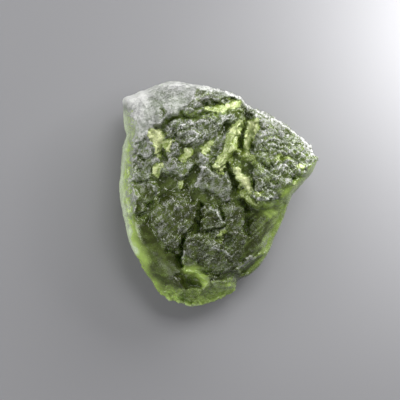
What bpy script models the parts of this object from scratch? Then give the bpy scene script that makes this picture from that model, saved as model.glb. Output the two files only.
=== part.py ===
"""A raw moldavite: one piece of natural green glass, 25 mm long, lying on its back.

The face that was etched deepest looks up, +Y runs along the stone's length and the origin is
under the middle of its box. The body is lofted from its outline, the plates, grooves and pits of
the face are raised and sunk on it, and the worn spot that it rests on is cut flat.
Lengths are in millimetres until the finished mesh is scaled to metres.
"""

import math

import bmesh
import bpy
import numpy as np

MM = 0.001
LENGTH = 25.0
CROWN_HEIGHT = 8.7
CROWN_AT = (-0.6, 2.2)
FLAT_SPOT_AT = (-0.9, 0.2)
FLAT_SPOT_RADIUS = 4.4
BACK_SAG = 0.3

WORK_CELL = 0.2
TRIANGLES = 8600
OUTLINE_STEPS = 220
FRONT_RINGS = 40
BACK_RINGS = 24
SEED = 11

GLASS_COLOUR = (0.16, 0.22, 0.07, 1.0)
GLASS_ROUGHNESS = 0.45
GLASS_IOR = 1.49

# The stone's edge seen from above, counter-clockwise from the tip of the fin on the right.
OUTLINE = (
    (10.9, 3.95), (10.45, 4.2), (10.1, 5.0), (9.5, 5.85), (8.5, 6.75), (7.5, 7.55), (6.5, 8.15),
    (5.5, 8.65), (4.5, 9.1), (3.5, 9.6), (2.95, 10.1), (2.6, 10.6), (2.0, 10.9), (1.0, 11.3),
    (0.0, 11.55), (-1.0, 11.85), (-2.0, 12.05), (-3.0, 12.2), (-4.2, 12.45), (-5.2, 12.5),
    (-6.0, 12.35), (-7.0, 12.0), (-8.0, 11.55), (-8.7, 11.4), (-9.2, 11.05), (-10.2, 10.8),
    (-10.55, 10.4), (-10.5, 9.4), (-10.45, 8.2), (-10.35, 7.3), (-10.1, 6.6), (-10.3, 5.8),
    (-10.55, 5.0), (-10.65, 3.5), (-10.8, 2.0), (-10.9, 0.9), (-10.8, -0.6), (-10.6, -1.8),
    (-10.35, -3.0), (-10.1, -4.2), (-9.85, -5.2), (-9.4, -6.3), (-8.7, -7.3), (-8.3, -8.2),
    (-7.9, -9.0), (-7.5, -9.4), (-7.1, -10.2), (-6.6, -10.9), (-5.8, -11.5), (-5.3, -11.95),
    (-5.0, -11.75), (-4.5, -12.05), (-3.7, -12.2), (-3.1, -12.5), (-2.0, -12.4), (-1.3, -12.3),
    (-0.5, -11.95), (0.4, -11.5), (1.4, -11.0), (1.9, -10.55), (2.0, -9.95), (2.3, -9.55),
    (3.2, -9.2), (4.0, -8.6), (4.7, -7.9), (5.3, -7.0), (5.85, -6.0), (6.2, -5.0), (6.7, -4.0),
    (7.15, -3.0), (7.5, -2.0), (7.75, -1.2), (8.1, -0.3), (8.8, 0.6), (9.5, 1.4), (10.2, 2.2),
    (10.65, 3.0),
)

# Round the stone: angle, height of the widest line, and how far in from the edge the front and
# the back take to round over.
RIM = (
    (0.0, 4.6, 1.0, 3.6), (20.0, 5.6, 0.9, 4.2), (45.0, 4.8, 1.5, 3.4), (70.0, 4.3, 1.9, 3.0),
    (92.0, 3.9, 3.8, 3.0), (112.0, 3.6, 5.2, 3.0), (133.0, 4.0, 2.6, 2.4), (150.0, 4.2, 1.5, 2.6),
    (180.0, 4.2, 1.3, 3.2), (208.0, 3.7, 1.6, 3.2), (232.0, 3.1, 2.4, 3.0), (262.0, 2.5, 3.0, 2.4),
    (284.0, 2.8, 2.4, 2.6), (310.0, 2.9, 2.8, 3.0), (338.0, 3.2, 2.6, 3.6), (352.0, 4.0, 1.4, 3.6),
)

# Raised plates of the face: height over their surroundings, and their outline.
PLATES = {
    "upper slope": (0.75, (
        (-9.6, 6.9), (-7.6, 7.2), (-6.6, 7.6), (-5.9, 8.1), (-5.0, 8.7), (-4.0, 8.9), (-3.0, 9.1),
        (-1.8, 9.9), (0.2, 10.4), (2.4, 10.5), (3.2, 13.0), (-12.0, 13.0), (-12.0, 6.9))),
    "fin": (1.25, (
        (3.0, 9.6), (5.0, 10.0), (12.0, 8.0), (12.0, 1.5), (9.3, 2.1), (8.2, 1.9), (7.9, 1.1),
        (7.0, 0.9), (6.9, 0.1), (6.0, -0.6), (4.6, -0.6), (3.8, 0.0), (3.9, 1.1), (3.6, 1.9),
        (3.8, 2.9), (3.5, 3.9), (4.0, 5.4), (4.1, 6.5), (4.5, 7.6), (3.6, 8.5))),
    "fin heel": (0.55, (
        (6.6, 1.3), (8.3, 1.4), (9.6, 2.4), (10.6, 2.2), (8.9, -0.6), (7.6, -1.2), (6.4, -1.0))),
    "brow": (0.55, (
        (-5.7, 7.1), (-5.2, 7.7), (-4.4, 8.0), (-3.4, 7.8), (-2.3, 8.1), (-1.0, 8.1), (0.4, 8.7),
        (1.6, 8.6), (2.1, 8.2), (1.2, 7.8), (0.4, 7.2), (-0.4, 6.6), (-1.6, 5.8), (-2.4, 5.3),
        (-3.4, 5.4), (-4.2, 5.9), (-4.6, 6.4), (-5.4, 6.4))),
    "left shelf": (0.7, (
        (-9.6, 6.9), (-7.7, 7.15), (-7.6, 6.4), (-7.2, 5.7), (-7.0, 5.0), (-7.3, 4.3),
        (-8.5, 4.1), (-9.4, 4.4))),
    "left step": (0.45, (
        (-9.4, 3.9), (-8.3, 3.7), (-7.0, 3.9), (-6.4, 3.6), (-6.9, 3.1), (-7.4, 2.4),
        (-7.6, 1.7), (-8.6, 1.5), (-9.4, 1.7))),
    "left petal": (0.85, (
        (-9.4, 1.0), (-8.3, 1.2), (-7.4, 1.1), (-6.9, 0.8), (-6.7, 0.2), (-7.0, -0.3),
        (-7.6, -0.9), (-8.1, -1.8), (-8.8, -2.2), (-9.4, -2.0))),
    "left wall": (0.55, (
        (-7.7, 6.5), (-7.3, 7.2), (-6.5, 7.0), (-5.8, 6.3), (-6.3, 5.8), (-6.4, 5.0), (-6.6, 4.2),
        (-7.0, 4.6), (-7.0, 5.6))),
    "small plate": (0.6, ((-5.1, 5.4), (-4.5, 5.6), (-4.2, 5.0), (-4.4, 4.2), (-5.2, 3.9))),
    "middle shelf": (0.5, (
        (-5.9, 3.6), (-5.0, 3.9), (-4.4, 3.3), (-3.4, 3.2), (-2.8, 3.3), (-2.8, 2.6),
        (-3.3, 1.9), (-4.1, 1.8), (-5.0, 2.2), (-5.9, 2.5))),
    "island": (0.5, ((-2.3, 4.6), (-1.5, 4.3), (-0.9, 4.0), (-0.6, 3.2), (-1.9, 3.2), (-2.4, 3.8))),
    "strip": (0.55, (
        (-0.7, 5.0), (0.2, 6.3), (0.7, 6.9), (1.0, 6.6), (0.5, 5.6), (0.0, 4.5), (-0.6, 4.2))),
    "centre plate": (0.85, (
        (-1.9, 3.0), (-1.2, 3.1), (-0.6, 2.5), (0.0, 2.0), (0.7, 2.1), (1.0, 1.6), (1.2, 0.8),
        (1.6, 0.3), (1.5, -0.6), (0.9, -0.9), (0.2, -0.6), (-0.4, 0.1), (-1.2, 0.3),
        (-2.0, 0.4), (-2.6, 0.8), (-2.1, 1.2), (-1.8, 2.2))),
    "big left plate": (0.85, (
        (-5.0, 0.0), (-4.2, -0.1), (-3.2, -0.8), (-2.4, -1.2), (-2.5, -2.2), (-2.7, -3.2),
        (-3.1, -4.2), (-3.8, -4.8), (-4.2, -5.9), (-5.5, -5.8), (-6.5, -4.9), (-7.0, -4.0),
        (-7.8, -3.2), (-7.3, -2.3), (-7.6, -1.6), (-6.1, -1.2), (-5.6, -0.6))),
    "lower plate": (0.75, (
        (-1.8, -1.4), (-1.0, -1.3), (-0.4, -1.7), (0.1, -2.3), (0.6, -3.0), (0.4, -3.6),
        (-0.4, -3.8), (-1.5, -3.9), (-2.0, -3.2), (-1.9, -2.2))),
    "big right plate": (0.8, (
        (0.6, -1.3), (1.4, -1.0), (2.4, -1.3), (2.9, -2.2), (2.8, -4.5), (2.7, -6.5),
        (2.0, -7.9), (0.8, -8.6), (-0.5, -8.3), (-1.5, -7.6), (-2.8, -7.3), (-3.5, -6.2),
        (-3.4, -5.0), (-2.4, -4.3), (-1.0, -4.2), (0.4, -3.9), (0.9, -3.3), (0.6, -2.4))),
    "bottom ledge": (0.45, (
        (-0.7, -9.8), (0.0, -9.4), (1.2, -9.3), (2.4, -9.4), (2.4, -10.4), (0.6, -10.6),
        (-0.4, -10.4))),
}
PLATE_EDGE = 0.2

# Sunk areas between the plates: depth, and outline.
BASINS = {
    "face": (0.65, (
        (-8.8, 5.0), (-7.6, 6.6), (-6.3, 7.3), (-5.0, 8.1), (-3.5, 8.6), (-1.8, 9.0), (1.0, 9.0),
        (3.2, 8.6), (4.3, 6.5), (3.9, 4.0), (3.9, 0.2), (3.0, -1.0), (2.9, -5.0), (2.5, -7.8),
        (0.0, -8.9), (-3.8, -8.2), (-5.5, -6.2), (-6.8, -4.6), (-7.9, -3.3), (-9.0, -2.2),
        (-9.0, 2.0))),
    "pool": (0.45, (
        (-6.8, 1.7), (-5.8, 2.3), (-4.8, 2.0), (-4.1, 1.5), (-3.9, 0.6), (-4.3, 0.1),
        (-5.0, 0.1), (-5.7, -0.4), (-6.3, -0.9), (-6.7, 0.2))),
    "channel": (0.6, (
        (-2.4, 3.3), (-2.1, 2.8), (-2.4, 1.6), (-3.0, 0.8), (-3.3, 0.0), (-3.9, 0.2),
        (-3.7, 1.2), (-3.4, 1.8), (-2.8, 2.4))),
    "top trough": (0.8, (
        (-1.7, 10.1), (-0.8, 10.3), (0.4, 10.2), (1.6, 10.5), (2.5, 10.2), (2.3, 9.5), (1.2, 9.2),
        (0.0, 9.0), (-1.0, 9.3), (-1.7, 9.7))),
    "gap": (0.5, (
        (-6.4, 5.9), (-6.1, 4.9), (-5.6, 4.3), (-5.2, 3.8), (-6.0, 3.6), (-6.8, 4.1),
        (-6.4, 4.6))),
    "right flank": (1.2, (
        (2.9, -0.7), (4.4, -1.4), (6.0, -0.9), (7.6, -0.7), (9.0, -1.5), (7.0, -6.0),
        (5.5, -9.0), (2.2, -9.0), (2.6, -6.5), (3.0, -4.5), (3.0, -2.5))),
    "lower left flank": (0.45, (
        (-9.2, -2.4), (-7.9, -3.4), (-6.8, -4.6), (-5.6, -6.1), (-4.4, -6.2), (-3.8, -8.0),
        (-4.6, -9.6), (-4.8, -13.0), (-12.0, -13.0), (-12.0, -3.0))),
    "bottom lip": (0.9, (
        (-4.3, -10.7), (-3.6, -10.7), (-1.8, -10.9), (-0.4, -10.7), (2.6, -10.6), (2.6, -13.0),
        (-4.5, -13.0))),
}
BASIN_EDGE = 0.3

# Narrow cuts: half width, depth, and course.
GROOVES = {
    "brow groove": (0.36, 0.5, (
        (-6.6, 7.2), (-5.9, 7.7), (-5.0, 8.3), (-4.2, 8.5), (-3.2, 8.3), (-2.2, 8.6),
        (-1.2, 8.75), (-0.2, 8.7))),
    "upright groove": (0.4, 0.8, ((-1.9, -1.1), (-2.15, -2.0), (-2.3, -3.0), (-2.15, -4.0))),
    "slot": (0.34, 1.5, ((-3.7, -4.6), (-3.85, -5.4), (-4.0, -6.2), (-4.2, -7.2), (-4.35, -7.8))),
    "ribbon shade": (0.4, 0.7, ((1.0, 7.3), (0.4, 6.4), (-0.1, 5.4), (-0.5, 4.3), (-0.8, 3.6))),
    "right ribbon shade": (0.4, 0.8, ((2.6, 7.2), (2.45, 6.2), (2.5, 5.0))),
    "under ribbon": (0.35, 0.7, ((1.0, 3.2), (1.2, 2.2), (1.5, 1.2), (2.0, 0.2))),
    "fork": (0.3, 0.5, ((0.7, 3.0), (0.4, 2.4), (0.0, 2.0))),
    "plate seam": (0.3, 0.55, ((0.0, -1.2), (0.45, -1.9), (0.8, -2.5))),
    "fin foot": (0.6, 0.8, ((2.6, -0.9), (3.1, -1.8), (3.2, -3.0), (3.1, -4.2))),
    "fin scar": (0.5, 0.6, ((4.0, 3.9), (4.8, 3.2), (5.6, 2.8))),
    "fin rill": (0.4, 0.45, ((6.6, 4.0), (7.4, 3.9), (8.4, 3.7))),
    "slope nick": (0.3, 0.35, ((-4.4, 9.1), (-3.4, 9.2), (-2.4, 9.4))),
}

# Hollows: centre, half lengths, turn in degrees, and depth.
PITS = {
    "slope pit": ((-6.1, 8.8), (0.55, 0.6), 0, 0.4),
    "dark pit": ((-0.6, -4.6), (0.95, 0.55), -12, 0.6),
    "green pit": ((0.95, -5.0), (0.6, 0.85), 20, 0.7),
    "bubble": ((-3.0, -9.5), (1.65, 1.0), -32, 1.25),
    "flank pit": ((3.0, -3.5), (0.3, 0.5), 0, 0.5),
    "lower flank pit": ((3.15, -4.5), (0.4, 0.4), 0, 0.4),
    "fin pit": ((4.7, 4.8), (0.4, 0.4), 0, 0.4),
}

# Sharp ridges: half width, height, and course.
CRESTS = {
    "centre plate crest": (0.25, 0.3, ((-1.7, 3.0), (-1.85, 2.3), (-2.1, 1.3), (-2.5, 0.8))),
    "lower plate crest": (0.25, 0.3, (
        (-1.0, -1.4), (-0.3, -1.8), (0.1, -2.4), (0.6, -3.1), (0.1, -3.6))),
    "right ribbon": (0.5, 0.6, ((3.4, 7.4), (3.1, 6.4), (3.0, 5.4), (3.1, 4.6), (3.7, 4.1))),
    "ribbon": (0.75, 1.1, ((2.5, 8.0), (1.9, 7.0), (1.5, 6.0), (1.5, 5.2), (0.7, 4.2), (0.0, 3.1))),
    "fin ribbon": (0.75, 0.9, ((1.9, 2.9), (2.2, 2.0), (2.9, 1.4), (3.3, 0.4))),
    "cliff crest": (0.4, 0.5, (
        (2.9, -0.5), (3.6, -1.2), (4.4, -1.5), (5.2, -1.1), (6.2, -1.0), (7.0, -1.1))),
    "flank ridge": (0.35, 0.5, (
        (1.5, -8.8), (2.3, -8.2), (3.0, -7.6), (3.8, -7.1), (4.6, -6.9), (5.3, -6.3))),
    "slot edge": (0.2, 0.3, ((-3.7, -6.3), (-3.95, -7.0), (-4.05, -7.6))),
    "knob": (0.35, 0.45, ((-4.1, 1.2), (-3.95, 0.7))),
    "lip crest": (0.3, 0.35, ((-3.3, -10.3), (-2.5, -10.7), (-1.6, -10.9))),
    "plate fold": (0.3, 0.25, ((-1.8, -5.1), (-1.2, -5.4), (-0.6, -5.9), (0.4, -6.2), (1.4, -6.8))),
    "brow fold": (0.24, 0.35, (
        (-5.0, 7.2), (-4.4, 7.5), (-3.7, 7.4), (-3.3, 7.8), (-2.4, 7.9), (-1.4, 7.8), (-0.6, 8.2))),
    "brow swirl": (0.24, 0.35, (
        (-3.9, 6.5), (-3.3, 6.9), (-2.7, 6.9), (-2.3, 6.4), (-2.7, 5.9), (-3.4, 5.8))),
    "upper ledge": (0.2, 0.25, ((-0.7, -9.7), (0.6, -9.5), (1.8, -9.5))),
    "lower ledge": (0.2, 0.25, ((-0.5, -10.2), (0.8, -10.0), (1.9, -10.1))),
}

# Etching: size and depth of the scallops, and the share of it that the face and the rim take.
SCALLOPS = ((2.1, 0.4), (1.0, 0.17))
FACE_ETCH = 0.5
RIM_ETCH = 0.25
RIM_BAND = 1.1
# The smooth parts of the face, how far in from their outlines they start and end, and the share
# of the etching that they take.
SMOOTH_ZONES = (
    PLATES["upper slope"][1], BASINS["right flank"][1], BASINS["lower left flank"][1])
SMOOTH_BAND = (-0.5, 0.8)
SMOOTH_ETCH = 0.2
# The upward part of a surface's normal where the back ends and the face is complete, and where
# the relief starts and is complete.
FACE_TURN = (-0.3, 0.3)
RELIEF_TURN = (-0.1, 0.25)
# How far in from the stone's edge the relief starts and is complete.
RELIEF_BAND = (0.05, 0.6)

# How far edges stray from their named courses: distance and size of each swing.
WANDER = ((0.22, 0.8), (0.09, 0.33))
# The glass breaks in small flat chips, so edges also follow those: chip size and share.
CHIP_SIZE = 0.62
CHIP_SHARE = 0.45

# The plain face: how fast it falls away across, along, and from where on towards the bottom lip.
DOME_ACROSS = 0.016
DOME_ALONG = 0.006
LIP_FALL = 0.032
LIP_FALL_FROM = -3.0
RING_CROWDING = 1.4

# What turns a whole-numbered cell into a fixed random number.
CELL_PRIMES = np.array((73856093, 19349663, 83492791))
SEED_PRIME = 15485863
MIXING_PRIME = 1274126177
LOW_BITS = 0xFFFFFFFF


def smooth_step(low, high, value):
    share = np.clip((value - low) / (high - low), 0.0, 1.0)
    return share * share * (3.0 - 2.0 * share)


def closed_curve(corners, steps):
    """Points along a smooth closed curve (Catmull-Rom) through the corners."""
    corners = np.array(corners)
    place = np.arange(steps) * len(corners) / steps
    first = place.astype(int)
    share = (place - first)[:, None]
    before, start, end, after = (corners[(first + k) % len(corners)] for k in (-1, 0, 1, 2))
    return start + 0.5 * share * (
        end - before
        + share * (2 * before - 5 * start + 4 * end - after)
        + share**2 * (3 * (start - end) + after - before)
    )


def distance_to_line(points, line, closed=False):
    """Shortest distance from each point to a line of straight stretches."""
    line = np.array(line)
    starts, ends = (line, np.roll(line, -1, axis=0)) if closed else (line[:-1], line[1:])
    best = np.full(len(points), np.inf)
    for start, end in zip(starts, ends):
        run = end - start
        share = np.clip((points - start) @ run / (run @ run), 0.0, 1.0)
        best = np.minimum(best, np.linalg.norm(points - start - share[:, None] * run, axis=1))
    return best


def depth_inside(points, outline):
    """Distance to a closed outline, positive inside it."""
    corners = np.array(outline)
    inside = np.zeros(len(points), bool)
    x, y = points.T
    for (x0, y0), (x1, y1) in zip(corners, np.roll(corners, -1, axis=0)):
        crosses = (y0 > y) != (y1 > y)
        inside ^= crosses & (x < x0 + (y - y0) * (x1 - x0) / ((y1 - y0) or 1.0))
    return np.where(inside, 1.0, -1.0) * distance_to_line(points, corners, closed=True)


def lattice_value(cell, seed):
    """A fixed random number from 0 to 1 for each whole-numbered cell."""
    x, y, z = (cell * CELL_PRIMES).T
    mixed = x ^ y ^ z ^ seed * SEED_PRIME
    mixed = (mixed ^ mixed >> 13) & LOW_BITS
    mixed = mixed * MIXING_PRIME & LOW_BITS
    return (mixed ^ mixed >> 16) / LOW_BITS


def noise(points, seed):
    """Smooth value noise from -1 to 1, one swing to a unit of length."""
    base = np.floor(points).astype(np.int64)
    share = points - base
    share = share * share * (3.0 - 2.0 * share)
    total = np.zeros(len(points))
    for corner in np.ndindex(2, 2, 2):
        weight = np.prod(np.where(corner, share, 1.0 - share), axis=1)
        total += weight * lattice_value(base + corner, seed)
    return 2.0 * total - 1.0


def scallops(points, seed):
    """Cupped hollows packed edge to edge: 0 at a hollow's middle, about 1 on the crests between."""
    base = np.floor(points).astype(np.int64)
    nearest = np.full(len(points), np.inf)
    second = np.full(len(points), np.inf)
    for step in np.ndindex(3, 3, 3):
        cell = base + step - 1
        heart = cell + np.stack([lattice_value(cell, seed + k) for k in range(3)], axis=1)
        away = np.linalg.norm(points - heart, axis=1)
        second = np.minimum(second, np.maximum(away, nearest))
        nearest = np.minimum(nearest, away)
    return np.clip(nearest / np.maximum(second, 1e-6), 0.0, 1.0) ** 2


def chip_middles(points, seed):
    """The middle of the chip that each point is on, where chips one unit wide fill the space."""
    base = np.floor(points).astype(np.int64)
    nearest = np.full(len(points), np.inf)
    middle = np.zeros_like(points)
    for step in np.ndindex(3, 3, 3):
        cell = base + step - 1
        heart = cell + np.stack([lattice_value(cell, seed + k) for k in range(3)], axis=1)
        away = np.linalg.norm(points - heart, axis=1)
        closer = away < nearest
        nearest[closer] = away[closer]
        middle[closer] = heart[closer]
    return middle


def round_the_rim(angle):
    """Rim height, front shoulder and back shoulder at each angle, in degrees."""
    angles, *values = np.array(RIM).T
    return [np.interp(angle, angles, column, period=360.0) for column in values]


def crown(x, y):
    """The face before it was etched: a low dome that falls away towards the bottom lip."""
    dome = DOME_ACROSS * (x - CROWN_AT[0]) ** 2 + DOME_ALONG * (y - CROWN_AT[1]) ** 2
    fall = LIP_FALL * np.clip(LIP_FALL_FROM - y, 0.0, None) ** 2
    return CROWN_HEIGHT - dome - fall


def back(x, y):
    """The back: a shallow bowl whose middle dips under the plane that the stone rests on."""
    away = (x - FLAT_SPOT_AT[0]) ** 2 + (y - FLAT_SPOT_AT[1]) ** 2
    return BACK_SAG * (away / FLAT_SPOT_RADIUS**2 - 1.0)


def shoulder(inward, width):
    """How far a surface has rounded over, from 0 on the edge to 1 where the shoulder ends."""
    share = np.clip(inward / width, 0.0, 1.0)
    return np.sqrt(1.0 - (1.0 - share) ** 2)


def mesh_object(name, points, faces):
    mesh = bpy.data.meshes.new(name)
    mesh.from_pydata(points.tolist(), [], faces)
    obj = bpy.data.objects.new(name, mesh)
    bpy.context.scene.collection.objects.link(obj)
    return obj


def blank():
    """The whole stone with a plain face: rings of the outline, drawn in over the front and back."""
    edge = closed_curve(OUTLINE, OUTLINE_STEPS)
    angle = np.degrees(np.arctan2(edge[:, 1], edge[:, 0])) % 360.0
    rim, front_width, back_width = round_the_rim(angle)
    rings = [np.column_stack([edge, rim])]
    ends = []
    for surface, width, count in ((crown, front_width, FRONT_RINGS), (back, back_width, BACK_RINGS)):
        shares = 1.0 - np.arange(1, count) / count
        for share in 1.0 - (1.0 - shares) ** RING_CROWDING:
            x, y = (edge * share).T
            inward = distance_to_line(edge * share, edge, closed=True)
            rise = shoulder(inward, width)
            rings.append(np.column_stack([x, y, rim + (surface(x, y) - rim) * rise]))
        ends.append(len(rings) - 1)
    points = np.vstack([*rings, [(0, 0, crown(0, 0)), (0, 0, back(0, 0))]])
    n = OUTLINE_STEPS
    faces = []
    front = list(range(0, ends[0] + 1))
    rear = [0, *range(ends[0] + 1, ends[1] + 1)]
    for order, flip, tip in ((front, False, len(points) - 2), (rear, True, len(points) - 1)):
        for outer, inner in zip(order, order[1:]):
            for i in range(n):
                j = (i + 1) % n
                quad = (outer * n + i, outer * n + j, inner * n + j, inner * n + i)
                faces.append(quad[::-1] if flip else quad)
        for i in range(n):
            fan = (order[-1] * n + i, order[-1] * n + (i + 1) % n, tip)
            faces.append(fan[::-1] if flip else fan)
    return mesh_object("blank", points, faces)


def evaluated_arrays(obj):
    """Points, normals and faces of an object with its modifiers."""
    mesh = bpy.data.meshes.new_from_object(obj.evaluated_get(bpy.context.evaluated_depsgraph_get()))
    points = np.empty(len(mesh.vertices) * 3, np.float32)
    normals = np.empty(len(mesh.vertices) * 3, np.float32)
    mesh.vertices.foreach_get("co", points)
    mesh.vertex_normals.foreach_get("vector", normals)
    faces = [tuple(polygon.vertices) for polygon in mesh.polygons]
    bpy.data.meshes.remove(mesh)
    return points.reshape(-1, 3).astype(float), normals.reshape(-1, 3).astype(float), faces


def evened(obj, cell):
    """The object's surface redrawn with quads of one size, and the object removed."""
    remesh = obj.modifiers.new("even quads", "REMESH")
    remesh.mode = "VOXEL"
    remesh.voxel_size = cell
    arrays = evaluated_arrays(obj)
    bpy.data.objects.remove(obj)
    return arrays


def wandering(points):
    """The points' places seen from above, moved about so that no edge runs straight."""
    plan = np.column_stack([points[:, :2], np.zeros(len(points))])
    middle = chip_middles(plan / CHIP_SIZE, SEED + 40) * CHIP_SIZE
    moved = plan[:, :2] + CHIP_SHARE * (middle - plan)[:, :2]
    for distance, size in WANDER:
        for axis in range(2):
            moved[:, axis] += distance * noise(plan / size, SEED + 1 + axis)
    return moved


def face_relief(points):
    """Height of the face's plates, basins, grooves, pits and crests over the plain crown."""
    plan = wandering(points)
    height = np.zeros(len(points))
    for raised, outline in PLATES.values():
        height += raised * smooth_step(-PLATE_EDGE, PLATE_EDGE, depth_inside(plan, outline))
    for sunk, outline in BASINS.values():
        height -= sunk * smooth_step(-BASIN_EDGE, BASIN_EDGE, depth_inside(plan, outline))
    for half_width, deep, course in GROOVES.values():
        height -= deep * np.clip(1.0 - distance_to_line(plan, course) / half_width, 0.0, 1.0)
    for half_width, high, course in CRESTS.values():
        height += high * np.clip(1.0 - distance_to_line(plan, course) / half_width, 0.0, 1.0)
    for centre, half_lengths, turn, deep in PITS.values():
        height -= deep * bowl(plan, centre, half_lengths, turn)
    return height


def bowl(plan, centre, half_lengths, turn):
    """1 in the middle of an elliptical hollow, falling to 0 at its edge."""
    c, s = math.cos(math.radians(turn)), math.sin(math.radians(turn))
    x, y = (plan - centre).T
    away = np.hypot((x * c + y * s) / half_lengths[0], (y * c - x * s) / half_lengths[1])
    return np.sqrt(np.clip(1.0 - away**2, 0.0, 1.0))


def etched(points, normals):
    """The surface after etching: scallops all over, and the face's own relief."""
    edge = closed_curve(OUTLINE, OUTLINE_STEPS)
    inward = np.clip(depth_inside(points[:, :2], edge), 0.0, None)
    on_face = smooth_step(*FACE_TURN, normals[:, 2])
    strength = 1.0 + (FACE_ETCH - 1.0) * on_face
    strength *= RIM_ETCH + (1.0 - RIM_ETCH) * smooth_step(0.0, RIM_BAND, inward)
    for outline in SMOOTH_ZONES:
        within = smooth_step(*SMOOTH_BAND, depth_inside(points[:, :2], outline))
        strength *= 1.0 + (SMOOTH_ETCH - 1.0) * within * on_face
    for index, (size, deep) in enumerate(SCALLOPS):
        lift = scallops(points / size, SEED + 20 * index + 5) - 0.5
        points = points + normals * (deep * strength * lift)[:, None]
    on_front = smooth_step(*RELIEF_BAND, inward) * smooth_step(*RELIEF_TURN, normals[:, 2])
    points[:, 2] += face_relief(points) * on_front
    return points


def on_its_origin(points):
    """The points moved so that the middle of their box is over the origin."""
    low, high = points.min(axis=0), points.max(axis=0)
    return points - [(low[0] + high[0]) / 2, (low[1] + high[1]) / 2, 0.0]


def flat_spot_cutter():
    """A block whose top is the plane that the stone rests on."""
    mesh = bpy.data.meshes.new("flat spot cutter")
    shape = bmesh.new()
    bmesh.ops.create_cube(shape, size=2 * LENGTH * MM)
    bmesh.ops.translate(shape, verts=shape.verts, vec=(0.0, 0.0, -LENGTH * MM))
    shape.to_mesh(mesh)
    shape.free()
    cutter = bpy.data.objects.new("flat spot cutter", mesh)
    bpy.context.scene.collection.objects.link(cutter)
    cutter.hide_render = True
    cutter.display_type = "WIRE"
    return cutter


def glass():
    material = bpy.data.materials.new("moldavite glass")
    material.use_nodes = True
    shader = material.node_tree.nodes["Principled BSDF"]
    shader.inputs["Base Color"].default_value = GLASS_COLOUR
    shader.inputs["Roughness"].default_value = GLASS_ROUGHNESS
    shader.inputs["Metallic"].default_value = 0.0
    shader.inputs["IOR"].default_value = GLASS_IOR
    return material


def moldavite():
    points, normals, faces = evened(blank(), WORK_CELL)
    points, _, faces = evened(mesh_object("etched", etched(points, normals), faces), WORK_CELL)
    stone = mesh_object("moldavite", on_its_origin(points) * MM, faces)
    stone.data.materials.append(glass())
    thin = stone.modifiers.new("fewer faces", "DECIMATE")
    thin.ratio = TRIANGLES / (2 * len(faces))
    flat = stone.modifiers.new("flat spot", "BOOLEAN")
    flat.operation = "DIFFERENCE"
    flat.object = flat_spot_cutter()
    stone.data.shade_smooth()
    return stone


for old in list(bpy.data.objects):
    bpy.data.objects.remove(old)
moldavite()
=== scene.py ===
"""A raw moldavite in a plain studio, seen from straight above.

The stone is one piece of glass. Its form is built from the same named values as its solid, on a
finer mesh, and then takes the etching that is too fine for the solid: grain, scratches, folds.
Lengths are in millimetres until the finished mesh is scaled to metres.
"""

import math
from collections import namedtuple
from functools import reduce

import bpy
import numpy as np
from mathutils import Matrix, Vector


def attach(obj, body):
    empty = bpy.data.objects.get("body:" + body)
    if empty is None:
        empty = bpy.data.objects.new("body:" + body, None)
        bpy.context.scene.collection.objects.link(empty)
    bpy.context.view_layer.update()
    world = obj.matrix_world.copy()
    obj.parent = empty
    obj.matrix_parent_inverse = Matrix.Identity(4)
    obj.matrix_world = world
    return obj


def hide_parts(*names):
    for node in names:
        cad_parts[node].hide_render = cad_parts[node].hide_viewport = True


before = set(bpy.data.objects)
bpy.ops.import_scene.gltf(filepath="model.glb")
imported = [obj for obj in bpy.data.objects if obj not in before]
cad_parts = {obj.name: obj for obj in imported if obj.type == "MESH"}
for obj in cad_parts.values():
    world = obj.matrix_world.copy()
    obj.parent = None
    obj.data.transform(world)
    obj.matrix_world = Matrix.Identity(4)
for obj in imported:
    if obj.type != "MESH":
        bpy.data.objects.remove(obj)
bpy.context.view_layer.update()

MM = 0.001
CROWN_HEIGHT = 8.7
CROWN_AT = (-0.6, 2.2)
FLAT_SPOT_AT = (-0.9, 0.2)
FLAT_SPOT_RADIUS = 4.4
BACK_SAG = 0.3

# The plain face: how fast it falls away across, along, and from where on towards the bottom lip.
DOME_ACROSS = 0.016
DOME_ALONG = 0.006
LIP_FALL = 0.032
LIP_FALL_FROM = -3.0

# Quad sizes of the form and of its etching, triangles at the end, and the blank's rings.
FORM_CELL = 0.14
FINE_CELL = 0.085
TRIANGLES = 190000
OUTLINE_STEPS = 220
FRONT_RINGS = 40
BACK_RINGS = 24
RING_CROWDING = 1.4

# Each random pattern has its own seed, counted from the first.
SEED = 11
WANDER_SEED = SEED + 1
CHIP_SEED = SEED + 40
FACET_SEED = SEED + 50
WALL_CHIP_SEED = SEED + 55
FLOW_SEED = SEED + 65
WARP_SEED = SEED + 70
PIT_SEED = SEED + 97
EDGE_BREAK_SEED = SEED + 98
# What turns a whole-numbered cell into a fixed random number.
CELL_PRIMES = np.array((73856093, 19349663, 83492791))
SEED_PRIME = 15485863
MIXING_PRIME = 1274126177
LOW_BITS = 0xFFFFFFFF

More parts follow.
